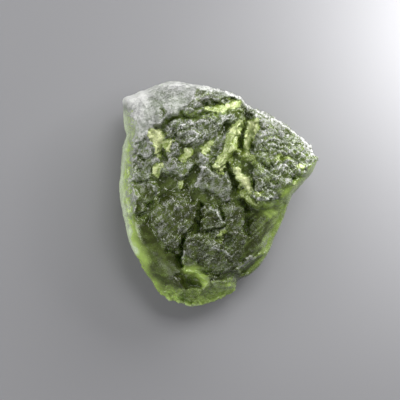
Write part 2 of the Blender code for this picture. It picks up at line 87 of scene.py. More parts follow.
# The stone's edge seen from above, counter-clockwise from the tip of the fin on the right.
OUTLINE = (
    (10.9, 3.95), (10.45, 4.2), (10.1, 5.0), (9.5, 5.85), (8.5, 6.75), (7.5, 7.55), (6.5, 8.15),
    (5.5, 8.65), (4.5, 9.1), (3.5, 9.6), (2.95, 10.1), (2.6, 10.6), (2.0, 10.9), (1.0, 11.3),
    (0.0, 11.55), (-1.0, 11.85), (-2.0, 12.05), (-3.0, 12.2), (-4.2, 12.45), (-5.2, 12.5),
    (-6.0, 12.35), (-7.0, 12.0), (-8.0, 11.55), (-8.7, 11.4), (-9.2, 11.05), (-10.2, 10.8),
    (-10.55, 10.4), (-10.5, 9.4), (-10.45, 8.2), (-10.35, 7.3), (-10.1, 6.6), (-10.3, 5.8),
    (-10.55, 5.0), (-10.65, 3.5), (-10.8, 2.0), (-10.9, 0.9), (-10.8, -0.6), (-10.6, -1.8),
    (-10.35, -3.0), (-10.1, -4.2), (-9.85, -5.2), (-9.4, -6.3), (-8.7, -7.3), (-8.3, -8.2),
    (-7.9, -9.0), (-7.5, -9.4), (-7.1, -10.2), (-6.6, -10.9), (-5.8, -11.5), (-5.3, -11.95),
    (-5.0, -11.75), (-4.5, -12.05), (-3.7, -12.2), (-3.1, -12.5), (-2.0, -12.4), (-1.3, -12.3),
    (-0.5, -11.95), (0.4, -11.5), (1.4, -11.0), (1.9, -10.55), (2.0, -9.95), (2.3, -9.55),
    (3.2, -9.2), (4.0, -8.6), (4.7, -7.9), (5.3, -7.0), (5.85, -6.0), (6.2, -5.0), (6.7, -4.0),
    (7.15, -3.0), (7.5, -2.0), (7.75, -1.2), (8.1, -0.3), (8.8, 0.6), (9.5, 1.4), (10.2, 2.2),
    (10.65, 3.0),
)

# Round the stone: angle, height of the widest line, and how far in from the edge the front and
# the back take to round over.
RIM = (
    (0.0, 4.6, 1.0, 3.6), (20.0, 5.6, 0.9, 4.2), (45.0, 4.8, 1.5, 3.4), (70.0, 4.3, 1.9, 3.0),
    (92.0, 3.9, 3.8, 3.0), (112.0, 3.6, 5.2, 3.0), (133.0, 4.0, 2.6, 2.4), (150.0, 4.2, 1.5, 2.6),
    (180.0, 4.2, 1.3, 3.2), (208.0, 3.7, 1.6, 3.2), (232.0, 3.1, 2.4, 3.0), (262.0, 2.5, 3.0, 2.4),
    (284.0, 2.8, 2.4, 2.6), (310.0, 2.9, 2.8, 3.0), (338.0, 3.2, 2.6, 3.6), (352.0, 4.0, 1.4, 3.6),
)

# Raised plates of the face: height over their surroundings, and their outline.
PLATES = {
    "upper slope": (0.75, (
        (-9.6, 6.9), (-7.6, 7.2), (-6.6, 7.6), (-5.9, 8.1), (-5.0, 8.7), (-4.0, 8.9), (-3.0, 9.1),
        (-1.8, 9.9), (0.2, 10.4), (2.4, 10.5), (3.2, 13.0), (-12.0, 13.0), (-12.0, 6.9))),
    "fin": (1.25, (
        (3.0, 9.6), (5.0, 10.0), (12.0, 8.0), (12.0, 1.5), (9.3, 2.1), (8.2, 1.9), (7.9, 1.1), (7.0, 0.9),
        (6.9, 0.1), (6.0, -0.6), (4.6, -0.6), (3.8, 0.0), (3.9, 1.1), (3.6, 1.9), (3.8, 2.9), (3.5, 3.9),
        (4.0, 5.4), (4.1, 6.5), (4.5, 7.6), (3.6, 8.5))),
    "fin heel": (0.55, (
        (6.6, 1.3), (8.3, 1.4), (9.6, 2.4), (10.6, 2.2), (8.9, -0.6), (7.6, -1.2), (6.4, -1.0))),
    "brow": (0.55, (
        (-5.7, 7.1), (-5.2, 7.7), (-4.4, 8.0), (-3.4, 7.8), (-2.3, 8.1), (-1.0, 8.1), (0.4, 8.7),
        (1.6, 8.6), (2.1, 8.2), (1.2, 7.8), (0.4, 7.2), (-0.4, 6.6), (-1.6, 5.8), (-2.4, 5.3), (-3.4, 5.4),
        (-4.2, 5.9), (-4.6, 6.4), (-5.4, 6.4))),
    "left shelf": (0.7, (
        (-9.6, 6.9), (-7.7, 7.15), (-7.6, 6.4), (-7.2, 5.7), (-7.0, 5.0), (-7.3, 4.3), (-8.5, 4.1),
        (-9.4, 4.4))),
    "left step": (0.45, (
        (-9.4, 3.9), (-8.3, 3.7), (-7.0, 3.9), (-6.4, 3.6), (-6.9, 3.1), (-7.4, 2.4), (-7.6, 1.7),
        (-8.6, 1.5), (-9.4, 1.7))),
    "left petal": (0.85, (
        (-9.4, 1.0), (-8.3, 1.2), (-7.4, 1.1), (-6.9, 0.8), (-6.7, 0.2), (-7.0, -0.3), (-7.6, -0.9),
        (-8.1, -1.8), (-8.8, -2.2), (-9.4, -2.0))),
    "left wall": (0.55, (
        (-7.7, 6.5), (-7.3, 7.2), (-6.5, 7.0), (-5.8, 6.3), (-6.3, 5.8), (-6.4, 5.0), (-6.6, 4.2),
        (-7.0, 4.6), (-7.0, 5.6))),
    "small plate": (0.6, ((-5.1, 5.4), (-4.5, 5.6), (-4.2, 5.0), (-4.4, 4.2), (-5.2, 3.9))),
    "middle shelf": (0.5, (
        (-5.9, 3.6), (-5.0, 3.9), (-4.4, 3.3), (-3.4, 3.2), (-2.8, 3.3), (-2.8, 2.6), (-3.3, 1.9),
        (-4.1, 1.8), (-5.0, 2.2), (-5.9, 2.5))),
    "island": (0.5, ((-2.3, 4.6), (-1.5, 4.3), (-0.9, 4.0), (-0.6, 3.2), (-1.9, 3.2), (-2.4, 3.8))),
    "strip": (0.55, (
        (-0.7, 5.0), (0.2, 6.3), (0.7, 6.9), (1.0, 6.6), (0.5, 5.6), (0.0, 4.5), (-0.6, 4.2))),
    "centre plate": (0.85, (
        (-1.9, 3.0), (-1.2, 3.1), (-0.6, 2.5), (0.0, 2.0), (0.7, 2.1), (1.0, 1.6), (1.2, 0.8), (1.6, 0.3),
        (1.5, -0.6), (0.9, -0.9), (0.2, -0.6), (-0.4, 0.1), (-1.2, 0.3), (-2.0, 0.4), (-2.6, 0.8),
        (-2.1, 1.2), (-1.8, 2.2))),
    "big left plate": (0.85, (
        (-5.0, 0.0), (-4.2, -0.1), (-3.2, -0.8), (-2.4, -1.2), (-2.5, -2.2), (-2.7, -3.2), (-3.1, -4.2),
        (-3.8, -4.8), (-4.2, -5.9), (-5.5, -5.8), (-6.5, -4.9), (-7.0, -4.0), (-7.8, -3.2), (-7.3, -2.3),
        (-7.6, -1.6), (-6.1, -1.2), (-5.6, -0.6))),
    "lower plate": (0.75, (
        (-1.8, -1.4), (-1.0, -1.3), (-0.4, -1.7), (0.1, -2.3), (0.6, -3.0), (0.4, -3.6), (-0.4, -3.8),
        (-1.5, -3.9), (-2.0, -3.2), (-1.9, -2.2))),
    "big right plate": (0.8, (
        (0.6, -1.3), (1.4, -1.0), (2.4, -1.3), (2.9, -2.2), (2.8, -4.5), (2.7, -6.5), (2.0, -7.9),
        (0.8, -8.6), (-0.5, -8.3), (-1.5, -7.6), (-2.8, -7.3), (-3.5, -6.2), (-3.4, -5.0), (-2.4, -4.3),
        (-1.0, -4.2), (0.4, -3.9), (0.9, -3.3), (0.6, -2.4))),
    "bottom ledge": (0.45, (
        (-0.7, -9.8), (0.0, -9.4), (1.2, -9.3), (2.4, -9.4), (2.4, -10.4), (0.6, -10.6), (-0.4, -10.4))),
}
PLATE_EDGE = 0.2

# Sunk areas between the plates: depth, and outline.
BASINS = {
    "face": (0.65, (
        (-8.8, 5.0), (-7.6, 6.6), (-6.3, 7.3), (-5.0, 8.1), (-3.5, 8.6), (-1.8, 9.0), (1.0, 9.0),
        (3.2, 8.6), (4.3, 6.5), (3.9, 4.0), (3.9, 0.2), (3.0, -1.0), (2.9, -5.0), (2.5, -7.8), (0.0, -8.9),
        (-3.8, -8.2), (-5.5, -6.2), (-6.8, -4.6), (-7.9, -3.3), (-9.0, -2.2), (-9.0, 2.0))),
    "pool": (0.45, (
        (-6.8, 1.7), (-5.8, 2.3), (-4.8, 2.0), (-4.1, 1.5), (-3.9, 0.6), (-4.3, 0.1), (-5.0, 0.1),
        (-5.7, -0.4), (-6.3, -0.9), (-6.7, 0.2))),
    "channel": (0.6, (
        (-2.4, 3.3), (-2.1, 2.8), (-2.4, 1.6), (-3.0, 0.8), (-3.3, 0.0), (-3.9, 0.2), (-3.7, 1.2),
        (-3.4, 1.8), (-2.8, 2.4))),
    "top trough": (0.8, (
        (-1.7, 10.1), (-0.8, 10.3), (0.4, 10.2), (1.6, 10.5), (2.5, 10.2), (2.3, 9.5), (1.2, 9.2),
        (0.0, 9.0), (-1.0, 9.3), (-1.7, 9.7))),
    "gap": (0.5, (
        (-6.4, 5.9), (-6.1, 4.9), (-5.6, 4.3), (-5.2, 3.8), (-6.0, 3.6), (-6.8, 4.1), (-6.4, 4.6))),
    "right flank": (1.2, (
        (2.9, -0.7), (4.4, -1.4), (6.0, -0.9), (7.6, -0.7), (9.0, -1.5), (7.0, -6.0), (5.5, -9.0),
        (2.2, -9.0), (2.6, -6.5), (3.0, -4.5), (3.0, -2.5))),
    "lower left flank": (0.45, (
        (-9.2, -2.4), (-7.9, -3.4), (-6.8, -4.6), (-5.6, -6.1), (-4.4, -6.2), (-3.8, -8.0), (-4.6, -9.6),
        (-4.8, -13.0), (-12.0, -13.0), (-12.0, -3.0))),
    "bottom lip": (0.9, (
        (-4.3, -10.7), (-3.6, -10.7), (-1.8, -10.9), (-0.4, -10.7), (2.6, -10.6), (2.6, -13.0),
        (-4.5, -13.0))),
}
BASIN_EDGE = 0.3

# Narrow cuts: half width, depth, and course.
GROOVES = {
    "brow groove": (0.36, 0.5, (
        (-6.6, 7.2), (-5.9, 7.7), (-5.0, 8.3), (-4.2, 8.5), (-3.2, 8.3), (-2.2, 8.6), (-1.2, 8.75),
        (-0.2, 8.7))),
    "upright groove": (0.4, 0.8, ((-1.9, -1.1), (-2.15, -2.0), (-2.3, -3.0), (-2.15, -4.0))),
    "slot": (0.34, 1.5, ((-3.7, -4.6), (-3.85, -5.4), (-4.0, -6.2), (-4.2, -7.2), (-4.35, -7.8))),
    "ribbon shade": (0.4, 0.7, ((1.0, 7.3), (0.4, 6.4), (-0.1, 5.4), (-0.5, 4.3), (-0.8, 3.6))),
    "right ribbon shade": (0.4, 0.8, ((2.6, 7.2), (2.45, 6.2), (2.5, 5.0))),
    "under ribbon": (0.35, 0.7, ((1.0, 3.2), (1.2, 2.2), (1.5, 1.2), (2.0, 0.2))),
    "fork": (0.3, 0.5, ((0.7, 3.0), (0.4, 2.4), (0.0, 2.0))),
    "plate seam": (0.3, 0.55, ((0.0, -1.2), (0.45, -1.9), (0.8, -2.5))),
    "fin foot": (0.6, 0.8, ((2.6, -0.9), (3.1, -1.8), (3.2, -3.0), (3.1, -4.2))),
    "fin scar": (0.5, 0.6, ((4.0, 3.9), (4.8, 3.2), (5.6, 2.8))),
    "fin rill": (0.4, 0.45, ((6.6, 4.0), (7.4, 3.9), (8.4, 3.7))),
    "slope nick": (0.3, 0.35, ((-4.4, 9.1), (-3.4, 9.2), (-2.4, 9.4))),
}

# Hollows: centre, half lengths, turn in degrees, and depth.
PITS = {
    "slope pit": ((-6.1, 8.8), (0.55, 0.6), 0, 0.4),
    "dark pit": ((-0.6, -4.6), (0.95, 0.55), -12, 0.6),
    "green pit": ((0.95, -5.0), (0.6, 0.85), 20, 0.7),
    "bubble": ((-3.0, -9.5), (1.65, 1.0), -32, 1.25),
    "flank pit": ((3.0, -3.5), (0.3, 0.5), 0, 0.5),
    "lower flank pit": ((3.15, -4.5), (0.4, 0.4), 0, 0.4),
    "fin pit": ((4.7, 4.8), (0.4, 0.4), 0, 0.4),
}

# Sharp ridges: half width, height, and course.
CRESTS = {
    "centre plate crest": (0.25, 0.3, ((-1.7, 3.0), (-1.85, 2.3), (-2.1, 1.3), (-2.5, 0.8))),
    "lower plate crest": (0.25, 0.3, (
        (-1.0, -1.4), (-0.3, -1.8), (0.1, -2.4), (0.6, -3.1), (0.1, -3.6))),
    "right ribbon": (0.5, 0.6, ((3.4, 7.4), (3.1, 6.4), (3.0, 5.4), (3.1, 4.6), (3.7, 4.1))),
    "ribbon": (0.75, 1.1, ((2.5, 8.0), (1.9, 7.0), (1.5, 6.0), (1.5, 5.2), (0.7, 4.2), (0.0, 3.1))),
    "fin ribbon": (0.75, 0.9, ((1.9, 2.9), (2.2, 2.0), (2.9, 1.4), (3.3, 0.4))),
    "cliff crest": (0.4, 0.5, (
        (2.9, -0.5), (3.6, -1.2), (4.4, -1.5), (5.2, -1.1), (6.2, -1.0), (7.0, -1.1))),
    "flank ridge": (0.35, 0.5, (
        (1.5, -8.8), (2.3, -8.2), (3.0, -7.6), (3.8, -7.1), (4.6, -6.9), (5.3, -6.3))),
    "slot edge": (0.2, 0.3, ((-3.7, -6.3), (-3.95, -7.0), (-4.05, -7.6))),
    "knob": (0.35, 0.45, ((-4.1, 1.2), (-3.95, 0.7))),
    "lip crest": (0.3, 0.35, ((-3.3, -10.3), (-2.5, -10.7), (-1.6, -10.9))),
    "plate fold": (0.3, 0.25, ((-1.8, -5.1), (-1.2, -5.4), (-0.6, -5.9), (0.4, -6.2), (1.4, -6.8))),
    "brow fold": (0.24, 0.35, (
        (-5.0, 7.2), (-4.4, 7.5), (-3.7, 7.4), (-3.3, 7.8), (-2.4, 7.9), (-1.4, 7.8), (-0.6, 8.2))),
    "brow swirl": (0.24, 0.35, (
        (-3.9, 6.5), (-3.3, 6.9), (-2.7, 6.9), (-2.3, 6.4), (-2.7, 5.9), (-3.4, 5.8))),
    "upper ledge": (0.2, 0.25, ((-0.7, -9.7), (0.6, -9.5), (1.8, -9.5))),
    "lower ledge": (0.2, 0.25, ((-0.5, -10.2), (0.8, -10.0), (1.9, -10.1))),
}

# Etching: size, depth and seed of the scallops, and the share that the face and the rim take.
SCALLOPS = ((2.1, 0.4, SEED + 5), (1.0, 0.17, SEED + 25))
FACE_ETCH = 0.5
RIM_ETCH = 0.25
RIM_BAND = 1.1
# The smooth parts of the face, where they start and are complete, and their share of etching.
SMOOTH_ZONES = (
    PLATES["upper slope"][1], BASINS["right flank"][1], BASINS["lower left flank"][1])
SMOOTH_BAND = (-0.5, 0.8)
SMOOTH_ETCH = 0.2
# How far up a surface looks where the face starts and is complete: for etching, relief, finish.
FACE_TURN = (-0.3, 0.3)
RELIEF_TURN = (-0.1, 0.25)
FINISH_TURN = (-0.3, 0.05)
# How far in from the stone's edge the relief starts and is complete.
RELIEF_BAND = (0.05, 0.6)

# How far edges stray from their named courses: distance and size of each swing.
WANDER = ((0.22, 0.8), (0.09, 0.33))
# The glass breaks in small flat chips, so edges also follow those: chip size, share and tilt.
CHIP_SIZE = 0.62
CHIP_SHARE = 0.45
CHIP_TILT = 2.0
SEEN_FROM_ABOVE = (1.0, 1.0, 0.0)

# What the surface is like in one zone: depth of the grain, the scratches and the chips, how pale
# the matt skin is, how strongly it is speckled, and how much painted light the glass under it has.
Finish = namedtuple("Finish", "grain scratch chip pale speckle clear")
BACK_FINISH = Finish(0.03, 0.0, 0.03, 0.12, 0.4, 0.35)
FACE_FINISH = Finish(0.02, 0.02, 0.08, 0.02, 0.25, 0.08)
PLATE_FINISH = Finish(0.03, 0.02, 0.1, 0.29, 0.5, 0.12)
DARK_PLATE = Finish(0.02, 0.06, 0.12, 0.035, 0.48, 0.02)
FINISH_OF_PLATE = {
    "upper slope": Finish(0.012, 0.01, 0.0, 0.53, 0.28, 0.12),
    "fin": Finish(0.015, 0.0, 0.2, 0.24, 0.74, 0.14),
    "brow": Finish(0.012, 0.0, 0.18, 0.32, 0.68, 0.1),
    "left petal": Finish(0.02, 0.02, 0.03, 0.06, 0.3, 0.08),
    "left shelf": Finish(0.03, 0.02, 0.1, 0.42, 0.5, 0.15),
    "centre plate": Finish(0.02, 0.03, 0.03, 0.24, 0.38, 0.06),
    "big left plate": Finish(0.01, 0.11, 0.07, 0.05, 0.42, 0.03),
    "lower plate": DARK_PLATE,
    "big right plate": DARK_PLATE,
    "bottom ledge": Finish(0.02, 0.02, 0.05, 0.12, 0.4, 0.35),
}

# Zones that cross the plates, later ones over earlier ones.
ZONES = {
    "left bevel": (Finish(0.03, 0.01, 0.0, 0.4, 0.5, 0.35), (
        (-9.3, 9.0), (-9.3, 6.0), (-9.2, 2.0), (-9.2, -1.0), (-8.9, -3.4), (-8.2, -6.0), (-9.4, -6.6),
        (-12.0, -4.0), (-12.0, 9.0))),
    "slope foot": (Finish(0.02, 0.02, 0.0, 0.46, 0.2, 0.4), (
        (-9.5, 6.8), (-8.9, 6.1), (-8.2, 6.6), (-7.6, 7.1), (-9.0, 7.6))),
    "slope pit": (Finish(0.02, 0.02, 0.0, 0.24, 0.3, 0.0), (
        (-6.7, 9.0), (-6.2, 9.3), (-5.8, 9.0), (-5.8, 8.4), (-6.4, 8.5))),
    "rough end of the slope": (Finish(0.02, 0.0, 0.12, 0.27, 0.52, 0.08), (
        (-3.6, 9.1), (-1.8, 9.9), (0.2, 10.4), (2.4, 10.5), (3.2, 13.0), (-1.6, 13.0), (-2.0, 11.6),
        (-2.8, 10.4))),
    "dark part of the fin": (Finish(0.015, 0.0, 0.2, 0.16, 0.66, 0.1), (
        (4.2, 3.4), (5.6, 3.2), (7.4, 2.8), (7.6, 1.2), (6.8, 0.2), (4.4, 0.3), (4.0, 1.6))),
    "green part of the fin": (Finish(0.015, 0.0, 0.18, 0.06, 0.6, 0.16), (
        (4.0, 4.7), (5.2, 4.4), (5.6, 3.4), (4.9, 2.4), (4.1, 1.9), (3.8, 3.2))),
    "valley end": (Finish(0.02, 0.02, 0.08, 0.2, 0.5, 0.3), (
        (-3.9, 8.1), (-2.0, 8.3), (0.4, 8.7), (0.6, 9.1), (-1.8, 9.2), (-3.9, 9.0))),
    "fin wall": (Finish(0.015, 0.01, 0.0, 0.02, 0.15, 0.34), (
        (12.0, 3.7), (10.4, 3.5), (9.4, 2.4), (8.4, 1.4), (7.6, 0.9), (7.1, 1.0), (6.8, 0.2), (7.3, -1.2),
        (9.0, -0.6), (12.0, 2.0))),
    "right flank": (Finish(0.02, 0.04, 0.0, 0.05, 0.3, 0.05), (
        (2.9, -0.9), (4.4, -1.6), (6.0, -1.1), (7.6, -0.7), (9.0, -1.5), (7.0, -6.0), (5.5, -9.6),
        (2.2, -9.6), (2.6, -6.5), (3.0, -4.5), (3.0, -2.5))),
    "cliff fan": (Finish(0.02, 0.03, 0.0, 0.0, 0.15, 0.42), (
        (3.6, -1.1), (4.6, -1.3), (6.6, -0.9), (7.0, -1.4), (6.2, -2.4), (5.0, -2.3), (4.3, -1.9))),
    "frosty patch": (Finish(0.02, 0.02, 0.0, 0.3, 0.5, 0.5), (
        (5.0, -5.6), (5.3, -4.6), (6.2, -4.3), (6.4, -5.2), (5.7, -6.0))),
    "lower left flank": (Finish(0.012, 0.01, 0.0, 0.02, 0.15, 0.06), (
        (-9.2, -2.2), (-8.1, -2.6), (-6.9, -4.6), (-5.6, -6.1), (-4.4, -6.2), (-3.8, -7.6), (-1.6, -8.0),
        (-1.0, -10.2), (-4.8, -10.3), (-7.6, -10.4), (-8.4, -7.6), (-9.3, -5.0))),
    "bubble": (Finish(0.01, 0.01, 0.0, 0.0, 0.1, 0.22), (
        (-3.7, -8.5), (-2.9, -8.4), (-1.8, -9.1), (-1.6, -10.0), (-2.8, -10.2), (-3.7, -9.7))),
    "bottom lip": (Finish(0.02, 0.02, 0.1, 0.0, 0.3, 0.34), (
        (-5.8, -10.4), (-3.6, -10.6), (-1.8, -10.8), (-0.6, -10.6), (2.6, -10.6), (2.6, -13.0),
        (-7.4, -13.0))),
}
ZONE_EDGE = 0.15
SKIN_REACH = 0.15

# Thin rims with painted light, for light that comes through them: width, how light, how matt, and course.
PAINTED_RIM_LIGHT_AND_SKIN = {
    "left rim": (1.6, 1.15, 0.0, (
        (-10.6, 9.6), (-10.5, 8.2), (-10.2, 6.6), (-10.7, 5.0), (-10.9, 2.0), (-11.0, 0.9), (-10.7, -1.8),
        (-9.9, -5.2), (-8.8, -7.3))),
    # The corner's full matt skin is partly its frost and partly painted light, as its wall faces away from
    # the lamps.
    "top left corner": (1.9, 1.5, 1.0, ((-10.6, 10.4), (-9.8, 10.9), (-8.9, 11.3))),
    "lower left rim": (0.9, 0.5, 0.0, ((-8.8, -7.3), (-7.6, -9.4), (-5.9, -11.5))),
    "bottom rim": (1.1, 0.78, 0.0, ((-5.6, -11.8), (-3.1, -12.5), (-0.5, -12.0), (1.9, -10.7))),
    "cliff foot": (0.55, 0.5, 0.0, ((4.2, -1.4), (5.4, -1.15), (6.4, -1.05), (7.4, -0.9))),
    "crescent": (0.8, 0.78, 0.0, ((-3.4, -8.4), (-2.5, -8.3), (-1.7, -8.8), (-1.5, -9.8))),
    "right rim": (1.5, 0.42, 0.1, ((7.9, -1.2), (7.2, -3.0), (6.3, -5.0), (5.4, -7.0))),
}

# How far the rims reach down the wall: from where it faces down this much to where it faces up.
# Their skin fades sooner than their painted light, and its speckles are calmer.
RIM_REACH = (-0.45, 0.2)
RIM_FALL = 1.2
RIM_CALM = 0.4

# Lines that flow one way through the glass: angle in degrees, strength, and outline.
FLOW_LINES = {
    "slope": (24.0, 0.16, PLATES["upper slope"][1]),
    "right flank": (42.0, 0.28, (
        (2.9, -1.9), (4.4, -2.2), (6.0, -2.5), (7.8, -2.2), (7.0, -6.0), (5.5, -9.6), (2.2, -9.6),
        (2.6, -6.5), (3.0, -4.5))),
    "cliff fan": (-35.0, 0.5, ZONES["cliff fan"][1]),
}
FLOW_LENGTH = 2.6
FLOW_WIDTH = 0.18
FLOW_EDGE = 0.3
FLOW_PALE = 0.4

# Small dark pits in the skin: how far apart, how many, the distances from the middle where one
# starts and is dark, how dark, and how pale a skin has them.
PIT_SPACING = 0.62
PIT_SHARE = 0.38
PIT_RADII = (0.15, 0.075)
PIT_DARKNESS = 0.42
PIT_SKIN = (0.3, 0.5)

# Fine chips and grain: size, share of the zone's depth, and seed of each layer. Both are drawn out
# along one direction, and curl.
FINE_CHIPS = ((0.8, 1.0, SEED + 90), (0.34, 0.5, SEED + 100))
GRAIN = ((0.4, 1.0, SEED + 80), (0.21, 0.5, SEED + 87))
GRAIN_LEVEL = 0.45
CHIP_RUN = np.array((0.64, 0.77, 0.0))
CHIP_STRETCH = 0.5
CHIP_CURL = 0.2
CURL_SIZE = 0.5
# Folded ledges, which rise to the right on the brow and fall on the fin: their angle, where it
# turns, spacing, bends as distance, size and seed, and height as a share of the chips'.
FOLD_ANGLE = 36.0
FOLD_TURN = (2.2, 4.6)
FOLD_SPACING = 0.9
FOLD_BENDS = ((0.8, 1.5, SEED + 68), (0.35, 0.6, SEED + 69))
FOLD_SHARE = 1.1
# Scratches that cross: angle and seed.
SCRATCHES = ((42.0, SEED + 60), (-50.0, SEED + 61))
SCRATCH_LENGTH = 1.6
SCRATCH_WIDTH = 0.2

# Facets and thin walls with painted glow, for light that comes through them, and small painted
# glints (the sparks): strength and outline.
BRIGHT_WALLS = {
    "left wall": (1.8, (
        (-7.7, 6.3), (-7.4, 7.2), (-6.5, 7.1), (-5.8, 6.4), (-6.1, 5.9), (-6.3, 5.0), (-6.4, 4.2),
        (-7.0, 4.4), (-7.1, 5.6))),
    "left wall, second facet": (0.9, (
        (-6.0, 5.8), (-5.2, 6.1), (-4.6, 5.9), (-5.1, 5.4), (-5.2, 4.7), (-5.8, 4.6))),
    "step wall": (0.75, ((-7.2, 3.0), (-6.6, 3.4), (-6.0, 3.2), (-6.6, 1.9), (-7.1, 2.1))),
    "shelf wall": (0.75, (
        (-4.5, 3.6), (-3.9, 4.2), (-3.7, 4.9), (-2.8, 4.9), (-2.7, 4.4), (-3.4, 3.9), (-4.0, 3.4))),
    "strip wall": (0.7, (
        (-2.0, 4.9), (-1.5, 5.3), (-1.1, 5.8), (-0.7, 5.6), (-1.0, 4.5), (-1.4, 4.3))),
    "ribbon": (0.66, (
        (1.8, 7.9), (2.7, 8.2), (2.9, 7.4), (2.3, 6.9), (2.2, 5.9), (2.1, 4.9), (1.4, 4.4), (1.2, 3.7),
        (0.9, 3.0), (0.5, 2.1), (-0.3, 2.3), (-0.6, 3.1), (-0.1, 3.9), (0.4, 4.6), (0.8, 5.8),
        (1.2, 7.0))),
    "right ribbon": (0.92, (
        (2.8, 6.0), (3.2, 8.0), (4.2, 8.2), (4.3, 7.2), (3.9, 6.0), (3.4, 5.6), (3.2, 4.6), (3.8, 4.0),
        (3.0, 4.3), (2.7, 5.2))),
    "fin ribbon": (0.9, (
        (1.6, 3.0), (2.3, 3.0), (2.6, 2.3), (3.5, 1.9), (3.7, 0.6), (3.6, 0.1), (3.1, 0.1), (2.9, 0.7),
        (2.2, 0.7), (2.4, 1.2), (1.7, 1.8))),
    "trough wall": (0.7, (
        (-1.4, 9.4), (0.0, 9.7), (1.0, 9.9), (2.4, 10.2), (2.4, 9.5), (1.2, 9.2), (0.2, 8.9),
        (-1.5, 9.0))),
    "cliff tail": (0.4, (
        (2.0, 0.4), (2.9, 0.5), (3.4, -0.3), (4.6, -1.3), (4.4, -1.7), (3.3, -1.0), (2.6, -0.4),
        (2.1, -0.2))),
    "cliff spark": (0.9, ((3.9, 0.1), (4.5, 0.0), (4.6, -0.4), (4.1, -0.4))),
    "fin patch": (0.42, ((6.1, 3.6), (6.4, 4.3), (7.6, 4.3), (8.0, 3.8), (7.2, 3.5))),
    "fin edge spark": (0.8, ((8.3, 3.2), (9.6, 3.2), (9.4, 2.7), (8.5, 2.8))),
    "fin heel spark": (0.6, ((8.0, 1.2), (8.6, 1.3), (8.7, 0.6), (8.1, 0.5))),
    "ribbon spark": (1.0, ((1.1, 4.1), (1.6, 4.0), (1.5, 3.5), (1.2, 3.4))),
    "knob": (0.7, ((-4.3, 1.1), (-4.0, 1.4), (-3.8, 1.1), (-3.9, 0.5), (-4.1, 0.5))),
    "hollow between the ribbons": (0.36, (
        (1.7, 4.8), (2.7, 5.1), (3.2, 4.3), (4.2, 3.8), (3.8, 3.2), (2.5, 3.7))),
    "lower wedge": (0.5, (
        (-0.1, -5.1), (0.0, -4.3), (0.5, -3.8), (1.0, -4.0), (0.7, -4.6), (0.2, -5.2))),
}
WALL_EDGE = 0.12
# Their painted glow follows small chips, shows where the surface looks up, and calms the speckles.
WALL_CHIP_SIZE = 0.45
WALL_CHIP_SHARE = 0.7
FACET_SIZE = 0.9
WALL_FACET = 0.22
FACET_DIM = 0.45
FACET_GAIN = 0.6
GLOW_TURN = (0.0, 0.2)
GLOW_CALM = 0.7

# Thin edges painted pale, partly their frosted skin and partly painted highlight where they catch
# the light: half width, strength and course.
PALE_EDGES_AND_HIGHLIGHTS = {
    "top right edge": (0.27, 1.0, (
        (-0.5, 11.6), (1.0, 11.2), (2.0, 10.8), (2.6, 10.5), (3.4, 9.6), (4.5, 9.0), (6.5, 8.1),
        (8.5, 6.7), (9.6, 5.7), (10.3, 4.4))),
    "top edge": (0.6, 0.9, (
        (-9.2, 10.9), (-7.0, 11.8), (-5.2, 12.35), (-3.0, 12.1), (-0.5, 11.6))),
    "corner edge": (0.6, 1.0, ((-10.6, 9.7), (-10.5, 10.5), (-9.2, 11.2))),
    "light part of the slope": (3.6, 0.68, ((-9.4, 10.2), (-8.6, 7.8))),
    "brow arc": (0.15, 0.8, ((-3.4, 5.7), (-2.8, 5.75), (-2.3, 6.4))),
    "brow ledge": (0.14, 0.8, ((-3.9, 7.4), (-3.3, 7.75), (-2.4, 7.95), (-1.4, 7.9))),
    "petal edge": (0.2, 0.5, ((-8.6, 1.1), (-7.3, 1.05), (-6.8, 0.5), (-6.8, -0.1))),
    "centre plate edge": (0.2, 0.6, CRESTS["centre plate crest"][2]),
    "lower plate edge": (0.15, 0.6, CRESTS["lower plate crest"][2][:4]),
    "slot edge": (0.15, 0.9, CRESTS["slot edge"][2]),
    "plate fold edge": (0.15, 0.6, CRESTS["plate fold"][2][2:]),
    "cliff edge": (0.18, 0.75, ((3.9, -0.2), (4.6, -0.6), (5.6, -0.75), (6.6, -0.5))),
    "flank ridge edge": (0.15, 0.4, CRESTS["flank ridge"][2][1:5]),
    "shelf spark": (0.2, 0.9, ((-2.0, 3.0), (-1.5, 2.9))),
}
# The share of the half width that is fully pale, how far up the surface has to look, and the share
# of the edges' straying that the paint follows.
EDGE_CORE = 0.4
EDGE_TURN = (-0.15, 0.2)
EDGE_STRAY = 0.4
# Small chips break up the pale edges and their painted highlight: their size, their shades, and
# how much less.
EDGE_BREAK_SIZE = 0.35
EDGE_BREAK_BAND = (0.15, 0.55)
EDGE_BREAK_LOSS = 0.35

# Painted highlight on ridges and painted shade in creases: rounds of smoothing for the near and
# the wide level, the height of a whole ridge, the depths where a crease starts and is complete,
# and how dark its painted shade is.
NEAR_ROUNDS = 8
WIDE_ROUNDS = 50
RIDGE_HEIGHT = 0.04
CREASE_DEPTHS = (0.02, 0.22)
CREASE_DARKNESS = 0.78

# The glass: its tint inside, and its surface colours, from painted crease shade to painted glow.
IOR = 1.49
TRANSMISSION = 0.5
ABSORPTION_COLOUR = (0.63, 0.75, 0.12, 1.0)
ABSORPTION_DENSITY = 240.0
CREASE_SHADE_COLOUR = (0.066, 0.092, 0.024, 1.0)
BODY_DARK = (0.055, 0.07, 0.012, 1.0)
BODY_LIGHT = (0.55, 0.75, 0.17, 1.0)
BODY_PALE = (0.86, 1.0, 0.66, 1.0)
MATT_GREEN = (0.28, 0.31, 0.25, 1.0)
MATT_GREY = (0.31, 0.31, 0.31, 1.0)
MATT_WHITE = (1.0, 1.0, 0.97, 1.0)
GLOW_EDGE = (0.3, 0.4, 0.05, 1.0)
GLOW_COLOUR = (0.58, 0.69, 0.29, 1.0)
GLOW_PALE = (0.94, 1.0, 0.52, 1.0)

